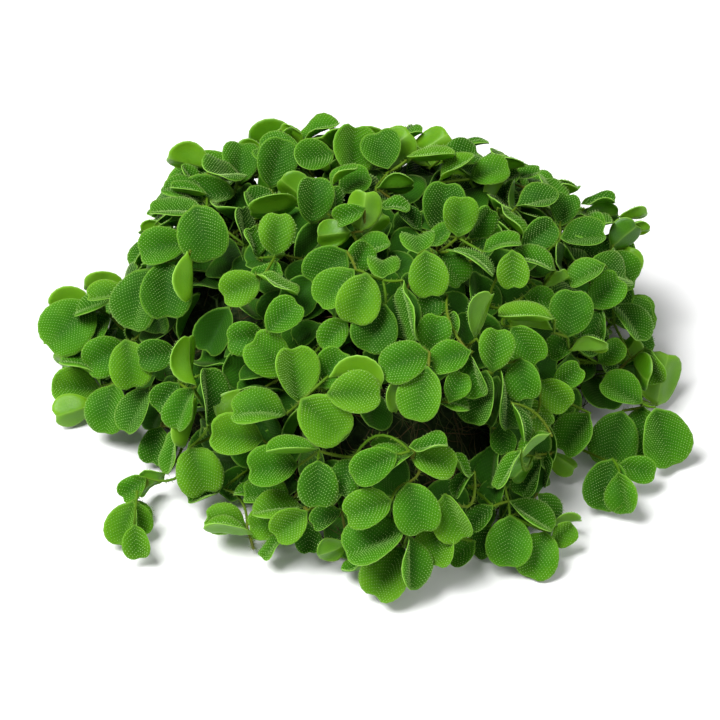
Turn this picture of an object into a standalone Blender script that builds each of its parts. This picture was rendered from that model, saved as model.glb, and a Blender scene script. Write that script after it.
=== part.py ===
"""Water spangles: a heaped clump of small floating ferns, lifted out of the water.

Each plant is a thin branching rhizome with round, folded leaves, and is one node. The
plants sit on root_mat, the matted root-like leaves that hang under them in the water.
Units are metres. Z is up, and X runs to the right and Y away as the photograph sees it.
"""

import math
import random

import bmesh
import bpy
from mathutils import Matrix, Vector
from mathutils.bvhtree import BVHTree
from mathutils.geometry import intersect_point_tri

# The heap: its height, how square its shoulders are, and its radius every 30 degrees
# from +X towards +Y
HEAP_HEIGHT = 0.060
HEAP_SQUARENESS = 2.4
HEAP_RADII = (0.073, 0.078, 0.074, 0.070, 0.072, 0.074, 0.073, 0.059, 0.057, 0.073, 0.072, 0.062)

# The mat of root-like leaves that fills the heap, and the dark hollow in its front
MAT_DEPTH = 0.0200
MAT_LUMP = 0.0016
MAT_SEGMENTS = 24
MAT_RINGS = 12
HOLLOW_CENTRE = Vector((0.023, -0.036, 0.027))
HOLLOW_SPREAD = 0.012
HOLLOW_DEPTH = 0.32

# One leaf
LEAF_WIDTH_SHARE = 0.92
LEAF_THICKNESS = 0.0009
LEAF_SHORTEST = 0.0070
LEAF_LONGEST = 0.0150
LEAF_FOLDS = (12.0, 44.0)
LEAF_CURLS = (-22.0, 48.0)
LEAF_NOTCHES = (0.05, 0.21)
RIM_POINTS = 8
RIM_NARROWER_AT_BASE = 0.13
BASE_DENT = 0.07
BASE_DENT_SPREAD = 0.45
NOTCH_SPREAD = 0.27
PETIOLE = 0.0008
PETIOLE_SPREAD = 0.20
FOLD_SOFTNESS = 0.0013
FOLD_FADE = 0.40

# Rhizomes, and the gaps that pieces keep
STEM_RADIUS = 0.00050
STEM_ROOM = 0.00055
STEM_END_TAPER = 0.45
STEM_TIGHTEST_BEND = -0.3
SHORT_EDGE = 0.00040
FOLD_OVER = 0.35
NODE_CLEARANCE = 0.0022
GAP = 0.0003
MAT_CLEARANCE = 0.0008
LINK_REACH = 0.024
LINK_UNDER_BLADE_COST = 0.6
PLANT_LEAVES = 6
PLANT_LEAVES_MOST = 11
PLANTS_MOST = 58

# The photograph's view: real size of one of its pixels at the clump, and the camera's
# distance, height angle, aim above the surface and middle pixel
PIXEL = 0.00024
VIEW_DISTANCE = 0.60
VIEW_ELEVATION = math.radians(40.0)
VIEW_AIM = Vector((0.0, 0.0, 0.0125))
VIEW_MIDDLE = 360.0
SIGHT_STEP = 0.0005
SIGHT_START = 0.45
SIGHT_END = 0.75
FLOOR_CENTRE_HEIGHT = 0.0060

# How far under the heap's outer form each layer of leaves has its middle
LAYER_INSETS = (0.07, 0.14)
ON_FLOOR = 2

# Leaves read from the photograph by eye. Each row is the base and the tip in the
# photograph's pixels, the turn about the midrib and the nod of the tip towards the
# camera in degrees, and the layer: 0 outer, 1 inner, 2 lying on the surface.
SEEN_LEAVES = (
    (210, 168, 166, 158, 135, 5, 0), (234, 165, 193, 170, 40, 0, 0), (196, 187, 181, 166, 60, 0, 1),
    (205, 197, 168, 189, 75, 0, 0), (204, 212, 148, 211, 68, 0, 0), (168, 238, 138, 228, 130, 0, 1),
    (187, 242, 138, 254, 25, 0, 0), (194, 206, 213, 261, 10, 10, 0), (192, 252, 192, 305, 105, 0, 0),
    (165, 262, 167, 322, 0, 10, 0), (148, 268, 130, 333, 35, 0, 1), (150, 285, 160, 336, 50, 0, 1),
    (125, 290, 83, 285, 125, 0, 1), (124, 294, 86, 298, 50, 0, 0), (92, 302, 47, 308, 130, 0, 1),
    (92, 306, 46, 347, 20, 0, 0), (84, 314, 40, 342, 60, 0, 1), (262, 168, 236, 144, 150, 0, 1),
    (270, 187, 284, 137, 0, 0, 0), (298, 142, 282, 130, 120, 0, 1), (300, 141, 341, 122, -70, 0, 0),
    (302, 150, 338, 152, -140, 0, 1), (352, 178, 354, 122, 30, -10, 0), (303, 160, 330, 172, -120, 0, 1),
    (338, 165, 307, 160, 50, 0, 1), (331, 183, 358, 167, -75, 0, 0), (340, 190, 372, 175, -30, 0, 1),
    (312, 222, 314, 176, 15, 0, 0), (335, 214, 334, 186, 60, 0, 1), (310, 203, 280, 178, 150, 0, 1),
    (300, 206, 247, 216, 120, 0, 1), (275, 255, 279, 211, 0, -5, 0), (258, 256, 248, 226, 50, 0, 1),
    (350, 232, 316, 236, 170, 0, 1), (360, 230, 367, 189, 175, 0, 0), (358, 242, 386, 212, -150, 0, 1),
    (362, 210, 335, 222, 20, 0, 0), (345, 252, 308, 284, 5, 0, 0), (350, 272, 368, 242, 20, 0, 1),
    (355, 272, 318, 307, 30, 0, 0), (250, 280, 284, 272, -55, 0, 1), (260, 280, 220, 298, 15, 0, 0),
    (258, 276, 299, 296, -75, 0, 0), (373, 164, 412, 131, 165, 0, 0), (410, 158, 449, 134, 160, 0, 0),
    (408, 162, 458, 158, -78, 0, 0), (441, 180, 477, 156, -72, 0, 0), (455, 184, 476, 163, -140, 0, 1),
    (471, 177, 510, 166, -35, 0, 0), (475, 154, 447, 148, 70, 0, 1), (456, 150, 490, 141, -80, 0, 1),
    (378, 188, 416, 186, -125, 0, 1), (382, 206, 410, 208, -60, 0, 1), (440, 234, 447, 180, 0, 0, 1),
    (458, 235, 461, 195, 12, 0, 0), (470, 238, 492, 206, 30, 0, 1), (418, 253, 417, 233, 0, -60, 0),
    (436, 244, 450, 228, -40, 0, 1), (383, 277, 384, 257, 0, -58, 0), (352, 262, 389, 240, -50, 0, 1),
    (425, 252, 432, 300, 0, 10, 0), (440, 252, 464, 285, -25, 0, 1), (452, 247, 497, 273, -78, 0, 0),
    (484, 248, 522, 238, -60, 0, 0), (512, 252, 514, 291, 0, 10, 0), (555, 266, 506, 256, 65, 0, 0),
    (499, 210, 524, 237, -75, 0, 0), (490, 204, 505, 176, -120, 0, 1), (514, 214, 513, 178, -80, 0, 1),
    (512, 182, 543, 172, -65, 0, 1), (518, 206, 560, 196, -55, 0, 0), (560, 225, 568, 192, 0, -25, 0),
    (585, 204, 616, 200, -70, 0, 1), (585, 218, 620, 214, -135, 0, 1), (620, 220, 649, 214, -115, 0, 0),
    (628, 232, 647, 230, -120, 0, 1), (522, 246, 556, 222, 10, 0, 0), (562, 240, 608, 234, -45, 0, 0),
    (612, 246, 638, 224, -150, 0, 1), (620, 282, 632, 246, 160, 0, 0), (598, 268, 616, 251, 60, 0, 0),
    (604, 266, 568, 284, 45, 0, 0), (590, 306, 622, 276, 0, 0, 0), (546, 288, 569, 277, -120, 0, 1),
    (99, 389, 50, 388, 15, 0, 0), (92, 405, 52, 418, 165, 0, 1), (112, 384, 104, 435, 30, 5, 0),
    (125, 341, 135, 390, 0, 5, 0), (125, 345, 84, 368, 10, 0, 1), (105, 379, 60, 357, 70, 0, 0),
    (80, 372, 54, 352, 130, 0, 1), (108, 316, 80, 348, 40, 0, 1), (175, 352, 136, 358, 0, 0, 1),
    (178, 385, 155, 410, 15, 0, 1), (148, 389, 124, 434, 50, 0, 0), (191, 386, 187, 334, -120, 0, 0),
    (208, 424, 206, 366, 50, 0, 0), (191, 388, 174, 432, 35, 0, 0), (199, 400, 184, 450, 110, 0, 1),
    (180, 430, 170, 477, 70, 0, 0), (160, 428, 152, 466, 20, 0, 1), (190, 447, 208, 497, 0, 5, 0),
    (262, 440, 207, 434, 15, 0, 0), (285, 411, 229, 412, 45, 0, 0), (250, 394, 219, 422, 150, 0, 1),
    (286, 372, 250, 338, 0, 0, 1), (298, 402, 290, 343, 20, 0, 0), (318, 386, 344, 350, 0, 0, 1),
    (330, 372, 386, 382, -125, 0, 1), (328, 394, 382, 394, -20, 0, 0), (303, 401, 345, 438, 0, 0, 0),
    (264, 336, 226, 341, 0, 0, 1), (268, 330, 300, 302, -15, 0, 0), (334, 320, 336, 294, 60, 0, 1),
    (366, 275, 352, 325, 0, 5, 0), (385, 305, 365, 353, 0, 0, 1), (346, 322, 322, 349, 20, 0, 1),
    (428, 353, 380, 372, 20, 0, 0), (405, 281, 419, 344, 75, 0, 0), (445, 296, 420, 314, 15, 0, 1),
    (430, 352, 438, 314, 0, 0, 0), (448, 350, 452, 309, -40, 0, 1), (470, 352, 429, 366, 25, 0, 0),
    (428, 368, 414, 422, 20, 0, 0), (408, 372, 396, 416, 110, 0, 1), (446, 402, 465, 406, -60, 0, 1),
    (450, 399, 462, 372, 10, 0, 0), (470, 356, 482, 398, 40, 0, 0), (486, 372, 474, 426, 40, 0, 1),
    (492, 371, 498, 326, 10, 0, 0), (474, 336, 491, 290, -115, 0, 0), (553, 322, 495, 318, 70, 0, 0),
    (553, 328, 506, 324, 110, 0, 1), (512, 328, 540, 364, 10, 0, 0), (520, 360, 526, 402, 10, 0, 0),
    (502, 366, 508, 432, -55, 0, 1), (513, 405, 525, 444, -75, 0, 0), (524, 402, 550, 428, 20, 0, 1),
    (541, 382, 570, 408, 5, 0, 0), (555, 386, 582, 366, 0, 0, 0), (568, 336, 574, 288, 0, 0, 0),
    (527, 296, 555, 304, -30, 0, 1), (600, 310, 592, 345, 30, 0, 1), (571, 350, 610, 350, -115, 0, 0),
    (575, 338, 546, 354, 20, 0, 1), (600, 362, 622, 342, 10, 0, 1), (618, 362, 638, 338, 150, 0, 1),
    (655, 404, 668, 352, -150, 0, 1), (644, 350, 660, 384, 30, 0, 1), (618, 372, 654, 388, 170, 0, 1),
    (641, 403, 600, 380, 30, 0, 0), (614, 316, 657, 312, -10, 0, 0), (590, 415, 560, 455, 30, 0, 0),
    (548, 438, 576, 406, -60, 0, 1), (550, 452, 577, 470, 150, 0, 1), (548, 455, 540, 488, 40, 0, 1),
    (540, 460, 520, 498, 30, 0, 1), (522, 452, 497, 492, 70, 0, 0), (548, 434, 520, 458, 75, 0, 0),
    (530, 460, 512, 480, 150, 0, 1), (500, 425, 508, 455, 10, 0, 1), (297, 466, 245, 472, 20, 0, 0),
    (317, 452, 264, 453, 70, 0, 0), (318, 461, 318, 509, 0, 0, 0), (352, 458, 340, 498, 25, 0, 1),
    (395, 454, 352, 478, 10, 0, 0), (412, 452, 367, 470, 45, 0, 0), (410, 448, 368, 446, 65, 0, 1),
    (412, 450, 449, 443, -60, 0, 0), (413, 456, 457, 468, -20, 0, 0), (448, 456, 468, 478, -70, 0, 1),
    (468, 475, 455, 494, 60, 0, 1), (408, 484, 424, 536, 0, 0, 0), (390, 500, 344, 518, 10, 0, 0),
    (404, 530, 343, 556, 35, 0, 0), (402, 548, 372, 600, 25, 0, 0), (408, 536, 410, 592, -50, 0, 0),
    (440, 520, 435, 569, 20, 0, 0), (444, 496, 464, 541, 25, 0, 0), (470, 545, 452, 560, 20, 0, 1),
    (488, 510, 471, 526, 20, 0, 1), (510, 517, 508, 569, 0, 5, 0), (545, 532, 530, 580, 0, 0, 1),
    (509, 504, 554, 532, -55, 0, 0), (553, 524, 582, 518, -110, 0, 1), (553, 542, 572, 526, 20, 0, 0),
    (302, 506, 250, 512, 55, 0, 0), (288, 522, 247, 528, 15, 0, 1), (306, 512, 272, 538, 0, 0, 0),
    (222, 490, 186, 502, 50, 0, 1), (262, 494, 234, 492, 60, 0, 1), (290, 498, 242, 494, 40, 0, 1),
    (245, 525, 203, 518, 30, 0, 0), (250, 535, 202, 530, 80, 0, 0), (278, 541, 266, 555, 60, 0, 1),
    (308, 526, 310, 553, 10, 0, 1), (338, 512, 313, 526, 30, 0, 1), (347, 545, 317, 556, 140, 0, 1),
    (365, 568, 346, 572, 70, 0, 1), (622, 412, 606, 469, 0, 5, 2), (642, 408, 645, 457, 25, 0, 2),
    (654, 408, 672, 468, -20, 0, 2), (612, 460, 600, 512, 0, 5, 2), (620, 466, 656, 474, -10, 0, 2),
    (619, 474, 626, 515, 30, 0, 2), (165, 474, 136, 494, 130, 0, 2), (138, 484, 127, 494, 20, 0, 2),
    (132, 503, 120, 546, 30, 0, 2), (137, 503, 142, 537, 0, 0, 2), (134, 498, 151, 528, -70, 0, 2),
    (134, 526, 140, 560, 10, 0, 2),
)

# The clump's outline in the photograph, which no leaf placed by rule passes
SEEN_OUTLINE = (
    (162, 150), (240, 136), (300, 122), (345, 119), (450, 127), (512, 156), (562, 178), (648, 206),
    (652, 240), (634, 288), (660, 300), (656, 346), (674, 375), (666, 404), (686, 428), (676, 467),
    (655, 500), (625, 516), (588, 506), (583, 452), (545, 488), (583, 518), (558, 578), (510, 584),
    (425, 572), (385, 602), (348, 582), (318, 564), (270, 557), (203, 538), (163, 480), (148, 450),
    (105, 436), (48, 425), (46, 350), (36, 340), (46, 300), (82, 283), (120, 290), (138, 230),
)

# Leaves on the sides that the photograph hides, by rule: places on a spiral from the top
# down, and how far a place may face the camera
SPIRAL_PLACES = 220
SPIRAL_TURN = math.pi * (3.0 - math.sqrt(5.0))
SPIRAL_TRIES = 12
SPIRAL_LENGTHS = (0.0102, 0.0132)
SPIRAL_INSET = 0.07
SPIRAL_FACES_CAMERA = 0.42
SPIRAL_LEAN = 0.75
SPIRAL_LIFT = 0.5

# Small changes tried when a leaf meets another: pushes along the line of sight, then
# changes of turn and nod in degrees, then of size
PUSHES = (0.0, 0.0012, -0.0012, 0.0024, 0.0036, -0.0024, 0.0050, 0.0065, 0.0080, 0.0100)
TILTS = ((0, 0), (12, 0), (-12, 0), (0, 12), (0, -12), (24, 0), (-24, 0), (14, 20), (-14, -20), (0, 30))
SHRINKS = (1.0, 0.86, 0.72)

# Bows of the rhizomes: the first tried on a long one, and those tried when others are barred
LONG_LINK = 0.0095
FIRST_BOW = 0.0025
BOWS = (0.002, 0.004, 0.006, 0.008)

VIEW_BACK = Vector((0.0, -math.cos(VIEW_ELEVATION), math.sin(VIEW_ELEVATION)))
VIEW_RIGHT = Vector((1.0, 0.0, 0.0))
VIEW_UP = Vector((0.0, math.sin(VIEW_ELEVATION), math.cos(VIEW_ELEVATION)))
VIEW_EYE = VIEW_AIM + VIEW_BACK * VIEW_DISTANCE
VIEW_FOCAL = VIEW_DISTANCE / PIXEL


def heap_radius(x, y):
    """Radius of the heap's outline in the direction of a point."""
    place = (math.atan2(y, x) % math.tau) / math.tau * len(HEAP_RADII)
    index = int(place) % len(HEAP_RADII)
    blend = place - int(place)
    blend = blend * blend * (3.0 - 2.0 * blend)
    return HEAP_RADII[index] * (1.0 - blend) + HEAP_RADII[(index + 1) % len(HEAP_RADII)] * blend


def heap_level(point, depth=0.0):
    """0 at the heap's middle and 1 on its outer form, or on a form that much smaller."""
    across = math.hypot(point.x, point.y) / (heap_radius(point.x, point.y) - depth)
    up = max(point.z, 0.0) / (HEAP_HEIGHT - depth)
    return (across ** HEAP_SQUARENESS + up ** HEAP_SQUARENESS) ** (1.0 / HEAP_SQUARENESS)


def mat_level(point):
    """1 on the root mat's surface, less inside it and more outside."""
    hollow = math.exp(-((point - HOLLOW_CENTRE).length / HOLLOW_SPREAD) ** 2)
    return heap_level(point, MAT_DEPTH) + HOLLOW_DEPTH * hollow


def outward(point):
    """Unit direction out of the heap at a point."""
    step = 0.001
    base = heap_level(point)
    slope = Vector([heap_level(point + Vector(axis) * step) - base
                    for axis in ((1, 0, 0), (0, 1, 0), (0, 0, 1))])
    return slope.normalized()


def sight(u, v):
    """Unit direction of the camera's line of sight through a pixel."""
    ray = VIEW_RIGHT * (u - VIEW_MIDDLE) - VIEW_UP * (v - VIEW_MIDDLE) - VIEW_BACK * VIEW_FOCAL
    return ray.normalized()


def pixel(point):
    """The pixel at which the camera sees a point."""
    offset = point - VIEW_EYE
    depth = -offset.dot(VIEW_BACK)
    return (VIEW_MIDDLE + VIEW_FOCAL * offset.dot(VIEW_RIGHT) / depth,
            VIEW_MIDDLE - VIEW_FOCAL * offset.dot(VIEW_UP) / depth)


def inside_outline(point):
    """Whether the camera sees a point inside the clump's outline."""
    u, v = pixel(point)
    inside = False
    for (u0, v0), (u1, v1) in zip(SEEN_OUTLINE, SEEN_OUTLINE[1:] + SEEN_OUTLINE[:1]):
        if (v0 > v) != (v1 > v) and u < u0 + (v - v0) / (v1 - v0) * (u1 - u0):
            inside = not inside
    return inside


def point_on_heap(u, v, inset):
    """First point on a line of sight that is that far inside the heap, or the nearest to it."""
    ray = sight(u, v)
    best, best_level = None, math.inf
    for step in range(int((SIGHT_END - SIGHT_START) / SIGHT_STEP)):
        point = VIEW_EYE + ray * (SIGHT_START + step * SIGHT_STEP)
        level = heap_level(point)
        if level < best_level:
            best, best_level = point, level
        if level <= 1.0 - inset or point.z < FLOOR_CENTRE_HEIGHT:
            break
    return best


def point_on_floor(u, v):
    """Where a line of sight passes the height at which a leaf on the surface has its middle."""
    ray = sight(u, v)
    return VIEW_EYE + ray * ((FLOOR_CENTRE_HEIGHT - VIEW_EYE.z) / ray.z)


class Leaf:
    """One leaf blade, folded along its midrib, from its base to the notch at its tip."""

    def __init__(self, middle, along, facing, length, traits):
        self.along = along.normalized()
        self.right = self.along.cross(facing).normalized()
        self.facing = self.right.cross(self.along)
        self.middle = middle
        self.length = length
        self.width = length * traits.uniform(0.95, 1.05) * LEAF_WIDTH_SHARE
        self.fold = math.radians(traits.uniform(*LEAF_FOLDS))
        self.curl = math.radians(traits.uniform(*LEAF_CURLS))
        self.notch = traits.uniform(*LEAF_NOTCHES)
        self.bow = length / math.copysign(max(abs(self.curl), 0.01), self.curl)

    def point(self, across, along, lift=0.0):
        """A point of the blade: metres to the right of the midrib, past the middle, and up."""
        angle = along / self.bow
        raised = math.sqrt(across * across + FOLD_SOFTNESS ** 2) - FOLD_SOFTNESS
        fold = self.fold * (1.0 - FOLD_FADE * (along / self.length + 0.5))
        lift = lift + raised * math.sin(fold)
        forward = (self.bow + lift) * math.sin(angle)
        up = self.bow * (math.cos(angle) - 1.0) + lift * math.cos(angle)
        return (self.middle + self.right * (across * math.cos(fold)) + self.along * forward
                + self.facing * up)

    def rim(self, angle, grow=0.0):
        """Across and along of the rim at an angle that runs from the base, 0, round the tip."""
        from_base = min(angle, math.tau - angle)
        dent = 1.0 - self.notch * math.exp(-((angle - math.pi) / NOTCH_SPREAD) ** 2)
        dent -= BASE_DENT * math.exp(-(from_base / BASE_DENT_SPREAD) ** 2)
        across = (0.5 * self.width + grow) * math.sin(angle)
        along = -(0.5 * self.length * dent + grow) * math.cos(angle)
        petiole = PETIOLE * math.exp(-(from_base / PETIOLE_SPREAD) ** 2)
        return across * (1.0 - RIM_NARROWER_AT_BASE * math.cos(angle)), along - petiole

    def node(self):
        """The end of the leaf's short stalk, which its rhizome holds."""
        return self.point(*self.rim(0.0))

    def lens(self, grow=0.0):
        """The blade's solid as points: its rim, then the crown above and the keel below."""
        points = [self.point(*self.rim(angle, grow)) for angle in rim_angles(RIM_POINTS)]
        lift = 0.5 * LEAF_THICKNESS + grow
        points.append(self.point(0.0, 0.0, lift))
        points.append(self.point(0.0, 0.0, -lift))
        return points


def rim_angles(count):
    """Angles of the rim's points: one at the base, one in the notch, and each side's."""
    half = count // 2
    side = [math.pi * (step / half) ** 0.93 for step in range(1, half)]
    return [0.0] + side + [math.pi] + [math.tau - angle for angle in reversed(side)]


def lens_faces(count):
    """Faces of the lens that Leaf.lens gives the points of."""
    faces = []
    for step in range(count):
        after = (step + 1) % count
        faces.append((after, step, count))
        faces.append((step, after, count + 1))
    return faces


def search_tree(leaf, grow=0.0):
    """Search tree of a leaf's solid."""
    return BVHTree.FromPolygons(leaf.lens(grow), lens_faces(RIM_POINTS))


class Tangle:
    """The leaves and rhizomes placed so far, and whether a new one meets them."""

    def __init__(self):
        self.leaves = []
        self.trees = []
        self.links = []

    def add(self, leaf):
        self.leaves.append(leaf)
        self.trees.append(search_tree(leaf))

    def leaf_is_free(self, leaf):
        """A leaf is free above the surface, outside the mat and clear of every other."""
        points = leaf.lens(GAP)
        if min(point.z for point in points) < GAP:
            return False
        if min(mat_level(point + outward(point) * -MAT_CLEARANCE) for point in points) < 1.0:
            return False
        tree = search_tree(leaf, GAP)
        for other, other_tree in zip(self.leaves, self.trees):
            if (other.middle - leaf.middle).length < 0.6 * (other.length + leaf.length):
                if tree.overlap(other_tree):
                    return False
        return True

    def link_is_free(self, route, ends):
        """A rhizome's route is free if only the leaves at its ends touch it, at their bases."""
        tree = route_tree(route, STEM_ROOM + GAP, STEM_RADIUS)
        for index, other in enumerate(self.leaves):
            if index in ends or (other.middle - route[0]).length > LINK_REACH + other.length:
                continue
            if tree.overlap(self.trees[index]):
                return False
        for link_route, link_ends, link_tree in self.links:
            if not set(ends) & set(link_ends) and tree.overlap(link_tree):
                return False
        inner = shortened(route)
        if inner is not None:
            inner_tree = route_tree(inner, STEM_RADIUS)
            if any(inner_tree.overlap(self.trees[index]) for index in ends):
                return False
        return all(mat_level(point) > 1.0 and point.z > STEM_RADIUS + GAP for point in route[1:-1])


def route_tree(route, radius, reach=0.0):
    """Search tree of a square tube along a route, whose ends reach that much further."""
    points, faces = [], []
    for start, end in zip(route, route[1:]):
        turn = (end - start).to_track_quat("Z", "Y").to_matrix()
        further = (end - start).normalized() * reach
        first = len(points)
        for place in (start - further, end + further):
            for x, y in ((1, 0), (0, 1), (-1, 0), (0, -1)):
                points.append(place + turn @ Vector((x * radius, y * radius, 0.0)))
        for side in range(4):
            after = (side + 1) % 4
            faces.append((first + side, first + after, first + 4 + after, first + 4 + side))
        faces.append((first + 3, first + 2, first + 1, first))
        faces.append((first + 4, first + 5, first + 6, first + 7))
    return BVHTree.FromPolygons(points, faces)


def shortened(route):
    """The route without the stretches next to the leaves at its ends."""
    first, last = route[1] - route[0], route[-2] - route[-1]
    if min(first.length, last.length) < 2.2 * NODE_CLEARANCE:
        return None
    first, last = first.normalized() * NODE_CLEARANCE, last.normalized() * NODE_CLEARANCE
    return [route[0] + first] + route[1:-1] + [route[-1] + last]


def seen_leaf(row, push, turn_change, nod_change, shrink, seed):
    """A leaf that looks, from the camera, like a row of the table."""
    base_u, base_v, tip_u, tip_v, turn, nod, layer = row
    middle_u, middle_v = 0.5 * (base_u + tip_u), 0.5 * (base_v + tip_v)
    if layer == ON_FLOOR:
        middle = point_on_floor(middle_u, middle_v)
    else:
        middle = point_on_heap(middle_u, middle_v, LAYER_INSETS[layer])
    ray = sight(middle_u, middle_v)
    middle = middle + ray * push
    scale = (middle - VIEW_EYE).dot(-VIEW_BACK) / VIEW_FOCAL
    shown = math.hypot(tip_u - base_u, tip_v - base_v) * scale
    nod = math.radians(nod + nod_change)
    turn = math.radians(turn + turn_change)
    flat = (VIEW_RIGHT * (tip_u - base_u) - VIEW_UP * (tip_v - base_v)).normalized()
    flat = (flat - ray * flat.dot(ray)).normalized()
    along = flat * math.cos(nod) - ray * math.sin(nod)
    facing = -ray * math.cos(nod) - flat * math.sin(nod)
    facing = facing * math.cos(turn) + along.cross(facing) * math.sin(turn)
    length = min(max(shown / math.cos(nod), LEAF_SHORTEST), LEAF_LONGEST) * shrink
    return Leaf(middle, along, facing, length, random.Random(seed))


def place_seen_leaves(tangle, rows):
    """Place leaves of the table, outermost first, each at the first free try."""
    order = sorted(range(len(rows)), key=lambda index: (rows[index][-1] % ON_FLOOR, index))
    for index in order:
        tries = ((shrink, tilt, push) for shrink in SHRINKS for tilt in TILTS for push in PUSHES)
        for shrink, (turn_change, nod_change), push in tries:
            leaf = seen_leaf(rows[index], push, turn_change, nod_change, shrink, index)
            if tangle.leaf_is_free(leaf):
                tangle.add(leaf)
                break


def spiral_leaf(place, places, inset, attempt):
    """A leaf at one place of a spiral over the heap, facing out and up by chance."""
    chance = random.Random(10000 * attempt + place)
    height = 1.0 - (place + 0.5) / places
    heading = place * SPIRAL_TURN
    spread = math.sqrt(1.0 - height * height)
    direction = Vector((math.cos(heading) * spread, math.sin(heading) * spread, height))
    middle = direction * ((1.0 - inset) / heap_level(direction))
    out = outward(middle)
    facing = (out + Vector((0.0, 0.0, SPIRAL_LIFT))).normalized()
    lean = Vector([chance.uniform(-SPIRAL_LEAN, SPIRAL_LEAN) for _ in range(3)])
    facing = (facing + lean).normalized()
    along = facing.orthogonal().normalized()
    along.rotate(Matrix.Rotation(chance.uniform(0.0, math.tau), 3, facing))
    if along.dot(out) < 0.0:
        along = -along
    return Leaf(middle, along, facing, chance.uniform(*SPIRAL_LENGTHS), chance)


def place_spiral_leaves(tangle, places, inset, faces_camera_most):
    """Place leaves by rule where the table has none."""
    for place in range(places):
        for attempt in range(SPIRAL_TRIES):
            leaf = spiral_leaf(place, places, inset, attempt)
            if outward(leaf.middle).dot(VIEW_BACK) > faces_camera_most:
                break
            if all(inside_outline(point) for point in leaf.lens()) and tangle.leaf_is_free(leaf):
                tangle.add(leaf)
                break


def routes(start, end):
    """Routes between two nodes: a long one bowed into the heap, straight, then bowed other ways."""
    middle = (start + end) * 0.5
    out = outward(middle)
    side = out.cross(end - start).normalized()
    if (end - start).length > LONG_LINK:
        yield [start, middle - out * FIRST_BOW, end]
    yield [start, end]
    for bow in BOWS:
        for inward, sideways in ((1.0, 0.0), (0.0, 1.0), (0.0, -1.0), (1.0, 0.7), (1.0, -0.7)):
            yield [start, middle + (side * sideways - out * inward) * bow, end]


def link_cost(first, second):
    """Length of a rhizome between two leaves, more where it would run under a blade."""
    span = second.node() - first.node()
    way = span.normalized()
    under = max(way.dot(first.along), 0.0) + max(-way.dot(second.along), 0.0)
    return span.length * (1.0 + LINK_UNDER_BLADE_COST * under)


def join_plants(tangle):
    """Link leaves by rhizomes, shortest first, into plants. Returns each leaf's plant."""
    leaves = tangle.leaves
    plant_of = list(range(len(leaves)))
    pairs = []
    for first in range(len(leaves)):
        for second in range(first + 1, len(leaves)):
            span = (leaves[first].node() - leaves[second].node()).length
            if 2.0 * STEM_RADIUS < span < LINK_REACH:
                pairs.append((link_cost(leaves[first], leaves[second]), first, second))
    pairs.sort()
    for most in (PLANT_LEAVES, PLANT_LEAVES_MOST, 2 * PLANT_LEAVES_MOST):
        for _, first, second in pairs:
            if most > PLANT_LEAVES and len(set(plant_of)) <= PLANTS_MOST:
                return plant_of
            size = plant_of.count(plant_of[first]) + plant_of.count(plant_of[second])
            if plant_of[first] == plant_of[second] or size > most:
                continue
            for route in routes(leaves[first].node(), leaves[second].node()):
                if tangle.link_is_free(route, (first, second)):
                    tree = route_tree(route, STEM_ROOM, STEM_RADIUS)
                    tangle.links.append((route, (first, second), tree))
                    old, new = plant_of[second], plant_of[first]
                    plant_of = [new if plant == old else plant for plant in plant_of]
                    break
    return plant_of


def add_roots(tangle, plant_of, mat_tree):
    """Run one root of each plant down to just short of the mat, where a way is free."""
    rooted = set()
    order = sorted(range(len(tangle.leaves)), key=lambda index: mat_level(tangle.leaves[index].node()))
    for index in order:
        if plant_of[index] in rooted:
            continue
        start = tangle.leaves[index].node()
        for lean in ((0, 0), (0.5, 0), (-0.5, 0), (0, 0.5), (0, -0.5), (0.9, 0.9), (-0.9, 0.9)):
            inward = -outward(start)
            side = inward.orthogonal().normalized()
            inward = (inward + side * lean[0] + inward.cross(side) * lean[1]).normalized()
            hit = mat_tree.ray_cast(start, inward)[0]
            if hit is None or (hit - start).length < 4.0 * STEM_RADIUS:
                continue
            route = [start, hit - inward * (GAP + 1.2 * STEM_RADIUS)]
            if tangle.link_is_free(route, (index,)):
                tree = route_tree(route, STEM_ROOM, STEM_RADIUS)
                tangle.links.append((route, (index,), tree))
                rooted.add(plant_of[index])
                break


def lay_out(mat_tree):
    """Place every leaf and rhizome, and group them by plant."""
    tangle = Tangle()
    place_seen_leaves(tangle, SEEN_LEAVES)
    place_spiral_leaves(tangle, SPIRAL_PLACES, SPIRAL_INSET, SPIRAL_FACES_CAMERA)
    plant_of = join_plants(tangle)
    add_roots(tangle, plant_of, mat_tree)
    plants = []
    for key in sorted(set(plant_of)):
        leaves = [leaf for leaf, mark in zip(tangle.leaves, plant_of) if mark == key]
        routes_here = [link[0] for link in tangle.links if plant_of[link[1][0]] == key]
        plants.append((leaves, routes_here))
    return plants


def same_place(first, second):
    return (first - second).length < 1e-7


def stem_paths(links):
    """Chain routes that meet without a sharp bend into as few long paths as possible."""
    spare = [list(route) for route in links]
    paths = []
    while spare:
        path = spare.pop(0)
        grown = True
        while grown:
            grown = False
            for other in spare:
                for piece in (other, other[::-1]):
                    if same_place(path[-1], piece[0]) and straight_on(path, piece):
                        path = path + piece[1:]
                        grown = True
                    elif same_place(path[0], piece[-1]) and straight_on(piece, path):
                        path = piece[:-1] + path
                        grown = True
                    if grown:
                        break
                if grown:
                    spare.remove(other)
                    break
        paths.append(path)
    return paths


def straight_on(before, after):
    """Whether one route carries on into another without a sharp bend."""
    way_in = (before[-1] - before[-2]).normalized()
    way_out = (after[1] - after[0]).normalized()
    return way_in.dot(way_out) > STEM_TIGHTEST_BEND


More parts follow.
